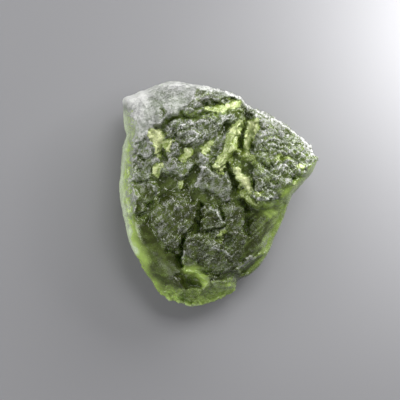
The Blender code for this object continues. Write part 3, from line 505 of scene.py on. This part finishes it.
# The bands of painted light in the glass, of skin and of painted glow in which one colour goes
# over into the next.
LIGHT_BAND = (0.0, 0.7)
PALE_BAND = (0.7, 1.0)
PATCH_BAND = (0.4, 0.6)
GREY_BAND = (0.08, 0.5)
WHITE_BAND = (0.5, 1.0)
LIT_BAND = (0.15, 0.5)
BRIGHT_BAND = (0.5, 0.9)
GLOW_BAND = (0.05, 0.3)

# The patterns: swings to a metre, and the detail and roughness of the cloudy ones.
PATCH = (330.0, 2.0, 0.5)
CLOUD = (800.0, 4.0, 0.5)
SPECK = (6500.0, 2.0, 0.6)
BEND = (2500.0, 2.0, 0.5)
DENT_SCALE = 7000.0
SHARD_SCALE = 3200.0
BEND_REACH = 0.3
# What swings the skin between dark and pale, partly its own mottle and partly painted glints and
# the relief's painted highlight and shade: the band of each pattern that counts, and its swing.
SPECK_SWING = ((0.36, 0.64), (-0.44, 0.44))
RIDGE_LIGHT_AND_SHADE_SWING = ((0.0, 1.0), (-0.26, 0.26))
SHARD_SWING = ((0.2, 0.8), (-0.34, 0.34))
CLOUD_SWING = ((0.35, 0.65), (-0.15, 0.15))
LIGHT_THROUGH_SWING = ((0.35, 0.65), (-0.1, 0.1))
# How much of that swing the painted glow has, and how much skin a crease's painted shade takes.
LIT_SWING = 0.35
CREASE_LOSS = 0.35
# How rough the surface is, from bare glass to skin, and how far the specks swing that.
SKIN_ROUGHNESS = ((0.0, 0.6), (0.19, 0.38))
SPECK_ROUGHNESS = ((0.3, 0.7), (-0.06, 0.06))
BUMP_STRENGTH = ((0.0, 1.0), (0.1, 0.7))
BUMP_DEPTH = 0.04

FLOOR_SIZE = 6.0
FLOOR_COLOUR = (0.205, 0.205, 0.212, 1.0)
FLOOR_ROUGHNESS = 0.9
FLOOR_SHINE = 0.2
ROOM_COLOUR = (0.17, 0.17, 0.18, 1.0)
STONE_MIDDLE = (0.0, 0.0, 0.004)
# The lights, in metres: place, size, watts, where they look, and spread in degrees.
LIGHTS = {
    "key light": ((0.07, 0.18, 0.27), (0.16, 0.1), 0.66, STONE_MIDDLE, 180.0),
    "back softbox": ((0.095, 0.125, 0.06), (0.16, 0.09), 0.4, STONE_MIDDLE, 180.0),
    "left card": ((-0.15, 0.0, 0.07), (0.2, 0.1), 0.29, STONE_MIDDLE, 180.0),
    "front card": ((-0.02, -0.18, 0.08), (0.2, 0.1), 0.1, STONE_MIDDLE, 180.0),
    "background light": ((0.042, 0.025, 0.035), (0.02, 0.02), 0.031, (0.037, 0.019, 0.0), 105.0),
}

# The camera looks straight down. Its frame has 400 pixels, 9.04 to a millimetre at the rim.
FRAME_PIXELS = 400
PIXELS_PER_MM = 9.04
FRAME_CENTRE = (-2.05, -0.66)
RIM_LEVEL = 4.2
CAMERA_DISTANCE = 260.0
SENSOR_WIDTH = 36.0


def smooth_step(low, high, value):
    share = np.clip((value - low) / (high - low), 0.0, 1.0)
    return share * share * (3.0 - 2.0 * share)


def closed_curve(corners, steps):
    """Points along a smooth closed curve (Catmull-Rom) through the corners."""
    corners = np.array(corners)
    place = np.arange(steps) * len(corners) / steps
    first = place.astype(int)
    share = (place - first)[:, None]
    before, start, end, after = (corners[(first + k) % len(corners)] for k in (-1, 0, 1, 2))
    return start + 0.5 * share * (
        end - before
        + share * (2 * before - 5 * start + 4 * end - after)
        + share**2 * (3 * (start - end) + after - before)
    )


def distance_to_line(points, line, closed=False):
    """Shortest distance from each point to a line of straight stretches."""
    line = np.array(line)
    starts, ends = (line, np.roll(line, -1, axis=0)) if closed else (line[:-1], line[1:])
    best = np.full(len(points), np.inf)
    for start, end in zip(starts, ends):
        run = end - start
        share = np.clip((points - start) @ run / (run @ run), 0.0, 1.0)
        best = np.minimum(best, np.linalg.norm(points - start - share[:, None] * run, axis=1))
    return best


def depth_inside(points, outline):
    """Distance to a closed outline, positive inside it."""
    corners = np.array(outline)
    inside = np.zeros(len(points), bool)
    x, y = points.T
    for (x0, y0), (x1, y1) in zip(corners, np.roll(corners, -1, axis=0)):
        crosses = (y0 > y) != (y1 > y)
        inside ^= crosses & (x < x0 + (y - y0) * (x1 - x0) / ((y1 - y0) or 1.0))
    return np.where(inside, 1.0, -1.0) * distance_to_line(points, corners, closed=True)


def turned(x, y, degrees):
    """How far each place is along a direction, and how far across it."""
    cosine, sine = math.cos(math.radians(degrees)), math.sin(math.radians(degrees))
    return x * cosine + y * sine, y * cosine - x * sine


def lattice_value(cell, seed):
    """A fixed random number from 0 to 1 for each whole-numbered cell."""
    x, y, z = (cell * CELL_PRIMES).T
    mixed = x ^ y ^ z ^ seed * SEED_PRIME
    mixed = (mixed ^ mixed >> 13) & LOW_BITS
    mixed = mixed * MIXING_PRIME & LOW_BITS
    return (mixed ^ mixed >> 16) / LOW_BITS


def noise(points, seed):
    """Smooth value noise from -1 to 1, one swing to a unit of length."""
    base = np.floor(points).astype(np.int64)
    share = smooth_step(0.0, 1.0, points - base)
    total = np.zeros(len(points))
    for corner in np.ndindex(2, 2, 2):
        weight = np.prod(np.where(corner, share, 1.0 - share), axis=1)
        total += weight * lattice_value(base + corner, seed)
    return 2.0 * total - 1.0


def streaks(points, degrees, length, width, seed):
    """Long thin lines in one direction: about -1 to 1 across them."""
    x, y, z = points.T
    along, across = turned(x, y, degrees)
    return noise(np.column_stack([along / length, across / width, z / length]), seed)


def hearts_around(points, seed, count):
    """The random middle of each cell around the points, with the cell's random numbers."""
    base = np.floor(points).astype(np.int64)
    for step in np.ndindex(3, 3, 3):
        cell = base + step - 1
        chance = np.stack([lattice_value(cell, seed + k) for k in range(count)], axis=1)
        yield cell + chance[:, :3], chance


def scallops(points, seed):
    """Cupped hollows packed edge to edge: 0 at a hollow's middle, about 1 on the crests between."""
    nearest = np.full(len(points), np.inf)
    second = np.full(len(points), np.inf)
    for heart, _ in hearts_around(points, seed, 3):
        away = np.linalg.norm(points - heart, axis=1)
        second = np.minimum(second, np.maximum(away, nearest))
        nearest = np.minimum(nearest, away)
    return np.clip(nearest / np.maximum(second, 1e-6), 0.0, 1.0) ** 2


def chips(points, seed):
    """Flat chips set at odd angles, edge to edge: height, a shade from 0 to 1, and their middles."""
    nearest = np.full(len(points), np.inf)
    height = np.zeros(len(points))
    shade = np.zeros(len(points))
    middle = np.zeros_like(points)
    for heart, chance in hearts_around(points, seed, 7):
        offset = points - heart
        away = np.linalg.norm(offset, axis=1)
        closer = away < nearest
        nearest[closer] = away[closer]
        slope = np.einsum("ij,ij->i", offset, chance[:, 3:6] - 0.5)
        height[closer] = (slope * CHIP_TILT + chance[:, 6] - 0.5)[closer]
        shade[closer] = chance[closer, 6]
        middle[closer] = heart[closer]
    return height, shade, middle


def round_the_rim(angle):
    """Rim height, front shoulder and back shoulder at each angle, in degrees."""
    angles, *values = np.array(RIM).T
    return [np.interp(angle, angles, column, period=360.0) for column in values]


def crown(x, y):
    """The face before it was etched: a low dome that falls away towards the bottom lip."""
    dome = DOME_ACROSS * (x - CROWN_AT[0]) ** 2 + DOME_ALONG * (y - CROWN_AT[1]) ** 2
    fall = LIP_FALL * np.clip(LIP_FALL_FROM - y, 0.0, None) ** 2
    return CROWN_HEIGHT - dome - fall


def back(x, y):
    """The back: a shallow bowl whose middle dips under the plane that the stone rests on."""
    away = (x - FLAT_SPOT_AT[0]) ** 2 + (y - FLAT_SPOT_AT[1]) ** 2
    return BACK_SAG * (away / FLAT_SPOT_RADIUS**2 - 1.0)


def shoulder(inward, width):
    """How far a surface has rounded over, from 0 on the edge to 1 where the shoulder ends."""
    share = np.clip(inward / width, 0.0, 1.0)
    return np.sqrt(1.0 - (1.0 - share) ** 2)


def mesh_object(name, points, faces):
    mesh = bpy.data.meshes.new(name)
    mesh.from_pydata(points.tolist(), [], faces)
    obj = bpy.data.objects.new(name, mesh)
    bpy.context.scene.collection.objects.link(obj)
    return obj


def blank():
    """The whole stone with a plain face: rings of the outline, drawn in over the front and back."""
    edge = closed_curve(OUTLINE, OUTLINE_STEPS)
    angle = np.degrees(np.arctan2(edge[:, 1], edge[:, 0])) % 360.0
    rim, front_width, back_width = round_the_rim(angle)
    rings = [np.column_stack([edge, rim])]
    ends = []
    for surface, width, count in ((crown, front_width, FRONT_RINGS), (back, back_width, BACK_RINGS)):
        shares = 1.0 - np.arange(1, count) / count
        for share in 1.0 - (1.0 - shares) ** RING_CROWDING:
            x, y = (edge * share).T
            rise = shoulder(distance_to_line(edge * share, edge, closed=True), width)
            rings.append(np.column_stack([x, y, rim + (surface(x, y) - rim) * rise]))
        ends.append(len(rings) - 1)
    points = np.vstack([*rings, [(0, 0, crown(0, 0)), (0, 0, back(0, 0))]])
    faces = []
    steps = [(here, (here + 1) % OUTLINE_STEPS) for here in range(OUTLINE_STEPS)]
    front = range(ends[0] + 1)
    rear = [0, *range(ends[0] + 1, ends[1] + 1)]
    for order, flip, tip in ((front, False, len(points) - 2), (rear, True, len(points) - 1)):
        starts = [ring * OUTLINE_STEPS for ring in order]
        for outer, inner in zip(starts, starts[1:]):
            for here, after in steps:
                quad = (outer + here, outer + after, inner + after, inner + here)
                faces.append(quad[::-1] if flip else quad)
        for here, after in steps:
            fan = (starts[-1] + here, starts[-1] + after, tip)
            faces.append(fan[::-1] if flip else fan)
    return mesh_object("blank", points, faces)


def mesh_arrays(mesh):
    """Points, normals and faces of a mesh."""
    points = np.empty(len(mesh.vertices) * 3, np.float32)
    normals = np.empty(len(mesh.vertices) * 3, np.float32)
    mesh.vertices.foreach_get("co", points)
    mesh.vertex_normals.foreach_get("vector", normals)
    faces = [tuple(polygon.vertices) for polygon in mesh.polygons]
    return points.reshape(-1, 3).astype(float), normals.reshape(-1, 3).astype(float), faces


def applied(obj):
    """The object's mesh with its modifiers, and the object removed."""
    mesh = bpy.data.meshes.new_from_object(obj.evaluated_get(bpy.context.evaluated_depsgraph_get()))
    bpy.data.objects.remove(obj)
    return mesh


def evened(obj, cell):
    """The object's surface redrawn with quads of one size, as points, normals and faces."""
    remesh = obj.modifiers.new("even quads", "REMESH")
    remesh.mode = "VOXEL"
    remesh.voxel_size = cell
    return mesh_arrays(applied(obj))


def wandering(points):
    """The points' places seen from above, moved about so that no edge runs straight."""
    plan = points * SEEN_FROM_ABOVE
    _, _, middle = chips(plan / CHIP_SIZE, CHIP_SEED)
    moved = plan[:, :2] + CHIP_SHARE * (middle * CHIP_SIZE - plan)[:, :2]
    for distance, size in WANDER:
        for axis in range(2):
            moved[:, axis] += distance * noise(plan / size, WANDER_SEED + axis)
    return moved


def bowl(plan, centre, half_lengths, turn):
    """1 in the middle of an elliptical hollow, falling to 0 at its edge."""
    along, across = turned(*(plan - centre).T, turn)
    away = np.hypot(along / half_lengths[0], across / half_lengths[1])
    return np.sqrt(np.clip(1.0 - away**2, 0.0, 1.0))


def inside_of(plan, outline, edge):
    """1 inside the outline, 0 outside, with a soft edge."""
    return smooth_step(-edge, edge, depth_inside(plan, outline))


def ridge_on(plan, course, half_width):
    """1 on the course, falling straight to 0 at the half width."""
    return np.clip(1.0 - distance_to_line(plan, course) / half_width, 0.0, 1.0)


def face_relief(points):
    """Height of the face's plates, basins, grooves, pits and crests over the plain crown."""
    plan = wandering(points)
    height = np.zeros(len(points))
    for raised, outline in PLATES.values():
        height += raised * inside_of(plan, outline, PLATE_EDGE)
    for sunk, outline in BASINS.values():
        height -= sunk * inside_of(plan, outline, BASIN_EDGE)
    for half_width, deep, course in GROOVES.values():
        height -= deep * ridge_on(plan, course, half_width)
    for half_width, high, course in CRESTS.values():
        height += high * ridge_on(plan, course, half_width)
    for centre, half_lengths, turn, deep in PITS.values():
        height -= deep * bowl(plan, centre, half_lengths, turn)
    return height


def etched(points, normals):
    """The surface after etching: scallops all over, and the face's own relief."""
    edge = closed_curve(OUTLINE, OUTLINE_STEPS)
    inward = np.clip(depth_inside(points[:, :2], edge), 0.0, None)
    on_face = smooth_step(*FACE_TURN, normals[:, 2])
    strength = 1.0 + (FACE_ETCH - 1.0) * on_face
    strength *= RIM_ETCH + (1.0 - RIM_ETCH) * smooth_step(0.0, RIM_BAND, inward)
    for outline in SMOOTH_ZONES:
        within = smooth_step(*SMOOTH_BAND, depth_inside(points[:, :2], outline))
        strength *= 1.0 + (SMOOTH_ETCH - 1.0) * within * on_face
    for size, deep, seed in SCALLOPS:
        lift = scallops(points / size, seed) - 0.5
        points = points + normals * (deep * strength * lift)[:, None]
    on_front = smooth_step(*RELIEF_BAND, inward) * smooth_step(*RELIEF_TURN, normals[:, 2])
    points[:, 2] += face_relief(points) * on_front
    return points


def finish_of(points, normals):
    """The finish at each point, one row for each of its values."""
    on_face = smooth_step(*FINISH_TURN, normals[:, 2])
    values = np.array(BACK_FINISH) + on_face[:, None] * (np.array(FACE_FINISH) - BACK_FINISH)
    plan = wandering(points)
    plates = [(FINISH_OF_PLATE.get(name, PLATE_FINISH), PLATES[name][1]) for name in PLATES]
    for finish, outline in [*plates, *ZONES.values()]:
        depth = depth_inside(plan, outline) + SKIN_REACH
        share = on_face * smooth_step(-ZONE_EDGE, ZONE_EDGE, depth)
        values += share[:, None] * (np.array(finish) - values)
    return Finish(*values.T)


def scratches(points):
    """Long shallow scores that cross each other: -1 in a score, 1 between."""
    layers = [
        streaks(points, angle, SCRATCH_LENGTH, SCRATCH_WIDTH, seed) for angle, seed in SCRATCHES]
    return sum(layers) / len(SCRATCHES)


def folds(points):
    """Ledges like the edges of bent pages: from 0 at the foot of one to 1 at its crest."""
    x, y, _ = points.T
    turn = np.radians(FOLD_ANGLE) * (1.0 - 2.0 * smooth_step(*FOLD_TURN, x))
    across = (y * np.cos(turn) - x * np.sin(turn)) / FOLD_SPACING
    for distance, size, seed in FOLD_BENDS:
        across += distance / FOLD_SPACING * noise(points / size, seed)
    return across - np.floor(across)


def fine_etching(points, finish):
    """How far the fine etching lifts each point off the plain surface."""
    warp = np.column_stack([noise(points / CURL_SIZE, WARP_SEED + k) for k in range(3)])
    along = (points @ CHIP_RUN)[:, None] * CHIP_RUN
    squeezed = points - CHIP_STRETCH * along + CHIP_CURL * warp
    lift = finish.scratch * scratches(points)
    for size, share, seed in FINE_CHIPS:
        lift += finish.chip * share * chips(squeezed / size, seed)[0]
    lift += finish.chip * FOLD_SHARE * (folds(points) - 0.5)
    for size, share, seed in GRAIN:
        lift += finish.grain * share * (scallops(squeezed / size, seed) - GRAIN_LEVEL)
    return lift


def glow_of(points):
    """How much painted glow each point has, for light coming through: whole facets of the bright walls."""
    plan = points * SEEN_FROM_ABOVE
    _, shade, _ = chips(points / FACET_SIZE, FACET_SEED)
    _, _, middle = chips(plan / WALL_CHIP_SIZE, WALL_CHIP_SEED)
    broken = (plan + WALL_CHIP_SHARE * (middle * WALL_CHIP_SIZE - plan))[:, :2]
    glow = np.zeros(len(points))
    for strength, outline in BRIGHT_WALLS.values():
        glow = np.maximum(glow, strength * inside_of(broken, outline, WALL_EDGE))
    return glow * (FACET_DIM + FACET_GAIN * shade)


def stone_mesh():
    """The finished mesh in metres, with what the glass's nodes read from it."""
    points, normals, faces = evened(blank(), FORM_CELL)
    points, normals, faces = evened(mesh_object("form", etched(points, normals), faces), FINE_CELL)
    lift = fine_etching(points, finish_of(points, normals))
    facets = chips(points / FACET_SIZE, FACET_SEED)[0]
    lift = lift + WALL_FACET * glow_of(points) * (facets - lift)
    points = points + normals * lift[:, None]
    points[:, 2] = np.maximum(points[:, 2], 0.0)
    fine = mesh_object("moldavite_glass", points, faces)
    thin = fine.modifiers.new("fewer faces", "DECIMATE")
    thin.ratio = TRIANGLES / (2 * len(faces))
    mesh = applied(fine)
    mesh.name = "moldavite_glass"
    dress(mesh)
    low, high = points.min(axis=0), points.max(axis=0)
    centre = Vector(((low[0] + high[0]) / 2, (low[1] + high[1]) / 2, 0.0))
    mesh.transform(Matrix.Scale(MM, 4) @ Matrix.Translation(-centre))
    return mesh


def smoothed(values, edges, rounds):
    """Each point's value averaged over its neighbours, again and again."""
    a, b = edges.T
    size = len(values)
    count = np.bincount(a, minlength=size) + np.bincount(b, minlength=size)
    for _ in range(rounds):
        total = np.stack([
            np.bincount(a, column[b], minlength=size) + np.bincount(b, column[a], minlength=size)
            for column in values.T], axis=1)
        values = 0.5 * (values + total / count[:, None])
    return values


def relief_levels(mesh, points, normals):
    """How far each point is proud of its near level, and that is sunk in the wide one."""
    edges = np.empty(len(mesh.edges) * 2, np.int32)
    mesh.edges.foreach_get("vertices", edges)
    edges = edges.reshape(-1, 2)
    near = smoothed(points, edges, NEAR_ROUNDS)
    wide = smoothed(near, edges, WIDE_ROUNDS)
    proud = np.einsum("ij,ij->i", points - near, normals)
    sunk = np.einsum("ij,ij->i", wide - near, normals)
    return proud, sunk


def with_flow_lines(pale, clear, points, plan):
    for angle, strength, outline in FLOW_LINES.values():
        share = strength * inside_of(plan, outline, FLOW_EDGE)
        lines = share * streaks(points, angle, FLOW_LENGTH, FLOW_WIDTH, FLOW_SEED)
        clear = clear + lines
        pale = pale + FLOW_PALE * lines
    return pale, clear


def with_pits(pale, points):
    _, shade, middle = chips(points / PIT_SPACING, PIT_SEED)
    away = np.linalg.norm(points - middle * PIT_SPACING, axis=1)
    pitted = (shade < PIT_SHARE) * smooth_step(*PIT_RADII, away)
    return pale - PIT_DARKNESS * pitted * smooth_step(*PIT_SKIN, pale)


# Pale edges that look up: partly frosted skin, partly painted highlight.
def with_pale_edges_and_highlights(pale, points, up, plan):
    shade = chips(points / EDGE_BREAK_SIZE, EDGE_BREAK_SEED)[1]
    edge_paint_kept = 1.0 - EDGE_BREAK_LOSS + EDGE_BREAK_LOSS * smooth_step(*EDGE_BREAK_BAND, shade)
    for half_width, strength, course in PALE_EDGES_AND_HIGHLIGHTS.values():
        away = distance_to_line(plan, course) / half_width
        share = (1.0 - smooth_step(EDGE_CORE, 1.0, away)) * smooth_step(*EDGE_TURN, up)
        pale = np.maximum(pale, strength * share * edge_paint_kept)
    return pale


# Painted light along the thin rims, for light that comes through them, and their skin.
def with_painted_rim_light(pale, speckle, clear, up, plan):
    for width, light, matt, course in PAINTED_RIM_LIGHT_AND_SKIN.values():
        share = ridge_on(plan, course, width) * smooth_step(*RIM_REACH, up)
        clear = clear + share * (light - clear)
        pale = pale + share**RIM_FALL * (matt - pale)
        speckle = speckle * (1.0 - RIM_CALM * share)
    return pale, speckle, clear


def dress(mesh):
    """Writes to the mesh its skin, painted light and glow, and its relief's painted highlight and shade.
    """
    points, normals, _ = mesh_arrays(mesh)
    up = normals[:, 2]
    plan = points[:, :2] + EDGE_STRAY * (wandering(points) - points[:, :2])
    finish = finish_of(points, normals)
    pale, clear = with_flow_lines(finish.pale, finish.clear, points, plan)
    pale = with_pale_edges_and_highlights(with_pits(pale, points), points, up, plan)
    pale, speckle, clear = with_painted_rim_light(pale, finish.speckle, clear, up, plan)
    glow = glow_of(points) * smooth_step(*GLOW_TURN, up)
    proud, sunk = relief_levels(mesh, points, normals)
    values = {
        "pale": pale,
        "speckle": speckle * (1.0 - GLOW_CALM * np.minimum(glow, 1.0)),
        "clear": clear,
        "glow": glow,
        # Painted highlight on ridges and painted shade in small hollows, then painted shade in creases.
        "ridge": smooth_step(-RIDGE_HEIGHT, RIDGE_HEIGHT, proud),
        "crease_shade": CREASE_DARKNESS * smooth_step(*CREASE_DEPTHS, sunk),
    }
    for name, value in values.items():
        attribute = mesh.attributes.new(name, "FLOAT", "POINT")
        attribute.data.foreach_set("value", value.astype(np.float32))


class Nodes:
    """Short ways to add nodes to one material."""

    def __init__(self, material):
        material.use_nodes = True
        self.tree = material.node_tree
        self.shader = self.tree.nodes["Principled BSDF"]
        self.output = self.tree.nodes["Material Output"]

    def fill(self, node, inputs):
        for socket, value in inputs.items():
            if isinstance(value, bpy.types.NodeSocket):
                self.tree.links.new(value, node.inputs[socket])
            else:
                node.inputs[socket].default_value = value

    def add(self, kind, inputs=None, **settings):
        node = self.tree.nodes.new(kind)
        for name, value in settings.items():
            setattr(node, name, value)
        self.fill(node, inputs or {})
        return node

    def attribute(self, name):
        return self.add("ShaderNodeAttribute", attribute_name=name).outputs["Fac"]

    def maths(self, operation, a, b, clamp=False):
        node = self.add("ShaderNodeMath", {0: a, 1: b}, operation=operation, use_clamp=clamp)
        return node.outputs[0]

    def plus(self, a, b):
        return self.maths("ADD", a, b)

    def times(self, a, b):
        return self.maths("MULTIPLY", a, b)

    def ranged(self, value, band, reach):
        """The value moved from the band to the reach, held inside it."""
        inputs = dict(enumerate((value, *band, *reach)))
        return self.add("ShaderNodeMapRange", inputs).outputs["Result"]

    def mixed(self, factor, a, b):
        """A colour between a and b. The node's colours are its inputs 6 and 7 and its output 2."""
        return self.add("ShaderNodeMix", {0: factor, 6: a, 7: b}, data_type="RGBA").outputs[2]

    def blended(self, value, band, a, b):
        """Colour a where the value is under the band, b over it."""
        return self.mixed(self.ranged(value, band, (0.0, 1.0)), a, b)

    def cloudy(self, place, scale, detail, roughness):
        inputs = {"Vector": place, "Scale": scale, "Detail": detail, "Roughness": roughness}
        return self.add("ShaderNodeTexNoise", inputs)


def shards(nodes, place):
    """Small flat shapes with bent edges, each its own tone; the light ones are painted glints."""
    bend = nodes.cloudy(place, *BEND).outputs["Color"]
    inputs = {0: bend, 1: (BEND_REACH * MM,) * 3, 2: place}
    bent = nodes.add("ShaderNodeVectorMath", inputs, operation="MULTIPLY_ADD").outputs[0]
    return nodes.add("ShaderNodeTexVoronoi", {"Vector": bent, "Scale": SHARD_SCALE}).outputs["Color"]


def body_colour(nodes, clear, cloud, crease_shade):
    """The bare glass, from dark to pale as painted light comes through it, with painted crease shade."""
    clear = nodes.plus(clear, nodes.ranged(cloud, *LIGHT_THROUGH_SWING))
    colour = nodes.blended(clear, LIGHT_BAND, BODY_DARK, BODY_LIGHT)
    colour = nodes.blended(clear, PALE_BAND, colour, BODY_PALE)
    # Painted shade in the creases.
    return nodes.mixed(crease_shade, colour, CREASE_SHADE_COLOUR)


def skin_colour(nodes, body, matt, patch):
    """The glass under its matt skin, from bare through grey to white."""
    grey = nodes.blended(patch, PATCH_BAND, MATT_GREEN, MATT_GREY)
    colour = nodes.blended(matt, GREY_BAND, body, grey)
    return nodes.blended(matt, WHITE_BAND, colour, MATT_WHITE)


# Painted glow on the bright walls, from their edges to their palest facets.
def lit_colour(nodes, colour, glow, swing):
    lit = nodes.plus(glow, nodes.times(swing, LIT_SWING))
    painted_glow_colour = nodes.blended(lit, LIT_BAND, GLOW_EDGE, GLOW_COLOUR)
    painted_glow_colour = nodes.blended(lit, BRIGHT_BAND, painted_glow_colour, GLOW_PALE)
    return nodes.blended(glow, GLOW_BAND, colour, painted_glow_colour)


def glass():
    """Green natural glass: grey and matt where etched, painted light through the edges, painted glow on
    thin walls.
    """
    material = bpy.data.materials.new("moldavite glass")
    nodes = Nodes(material)
    pale, speckle, clear, glow, ridge, crease_shade = (
        nodes.attribute(name) for name in ("pale", "speckle", "clear", "glow", "ridge", "crease_shade"))
    place = nodes.add("ShaderNodeTexCoord").outputs["Object"]
    speck, cloud, patch = (
        nodes.cloudy(place, *values).outputs["Fac"] for values in (SPECK, CLOUD, PATCH))
    dents = nodes.add("ShaderNodeTexVoronoi", {"Vector": place, "Scale": DENT_SCALE})

    # The skin's mottle with painted glints, the ridges' painted highlight and shade, the cloud's tone.
    swing = reduce(nodes.plus, (
        nodes.ranged(speck, *SPECK_SWING), nodes.ranged(ridge, *RIDGE_LIGHT_AND_SHADE_SWING),
        nodes.ranged(shards(nodes, place), *SHARD_SWING), nodes.ranged(cloud, *CLOUD_SWING)))
    matt = nodes.plus(pale, nodes.times(swing, speckle))
    # The creases' painted shade takes some paleness from the skin.
    matt = nodes.maths("SUBTRACT", matt, nodes.times(crease_shade, CREASE_LOSS), clamp=True)
    colour = skin_colour(nodes, body_colour(nodes, clear, cloud, crease_shade), matt, patch)
    rough = nodes.plus(nodes.ranged(matt, *SKIN_ROUGHNESS), nodes.ranged(speck, *SPECK_ROUGHNESS))
    bump = nodes.add("ShaderNodeBump", {
        "Strength": nodes.ranged(speckle, *BUMP_STRENGTH),
        "Distance": BUMP_DEPTH * MM,
        "Height": nodes.plus(speck, dents.outputs["Distance"])})
    nodes.fill(nodes.shader, {
        "Base Color": lit_colour(nodes, colour, glow, swing),
        "Roughness": rough,
        "Normal": bump.outputs["Normal"],
        "Transmission Weight": TRANSMISSION,
        "IOR": IOR})
    inside = nodes.add("ShaderNodeVolumeAbsorption", {
        "Color": ABSORPTION_COLOUR, "Density": ABSORPTION_DENSITY})
    nodes.fill(nodes.output, {"Volume": inside.outputs["Volume"]})
    return material


def moldavite():
    mesh = stone_mesh()
    mesh.shade_smooth()
    mesh.materials.append(glass())
    stone = bpy.data.objects.new("moldavite_glass", mesh)
    bpy.context.scene.collection.objects.link(stone)
    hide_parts("moldavite")
    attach(stone, "root")


def studio_floor():
    bpy.ops.mesh.primitive_plane_add(size=FLOOR_SIZE)
    floor = bpy.context.object
    floor.name = "floor"
    material = bpy.data.materials.new("pale floor")
    nodes = Nodes(material)
    nodes.fill(nodes.shader, {
        "Base Color": FLOOR_COLOUR, "Roughness": FLOOR_ROUGHNESS, "Specular IOR Level": FLOOR_SHINE})
    floor.data.materials.append(material)


def light_the_studio():
    for name, (place, size, watts, aim, spread) in LIGHTS.items():
        light = bpy.data.lights.new(name, "AREA")
        light.shape = "RECTANGLE"
        light.size, light.size_y = size
        light.energy = watts
        light.spread = math.radians(spread)
        softbox = bpy.data.objects.new(name, light)
        softbox.location = place
        softbox.rotation_euler = (Vector(aim) - Vector(place)).to_track_quat("-Z", "Y").to_euler()
        bpy.context.scene.collection.objects.link(softbox)
    world = bpy.data.worlds.new("studio")
    world.use_nodes = True
    world.node_tree.nodes["Background"].inputs["Color"].default_value = ROOM_COLOUR
    bpy.context.scene.world = world
    bpy.context.scene.view_settings.view_transform = "Standard"


def camera():
    data = bpy.data.cameras.new("camera")
    data.sensor_width = SENSOR_WIDTH
    data.lens = SENSOR_WIDTH * CAMERA_DISTANCE * PIXELS_PER_MM / FRAME_PIXELS
    obj = bpy.data.objects.new("camera", data)
    x, y = FRAME_CENTRE
    obj.location = (x * MM, y * MM, (RIM_LEVEL + CAMERA_DISTANCE) * MM)
    bpy.context.scene.collection.objects.link(obj)
    bpy.context.scene.camera = obj


moldavite()
studio_floor()
light_the_studio()
camera()
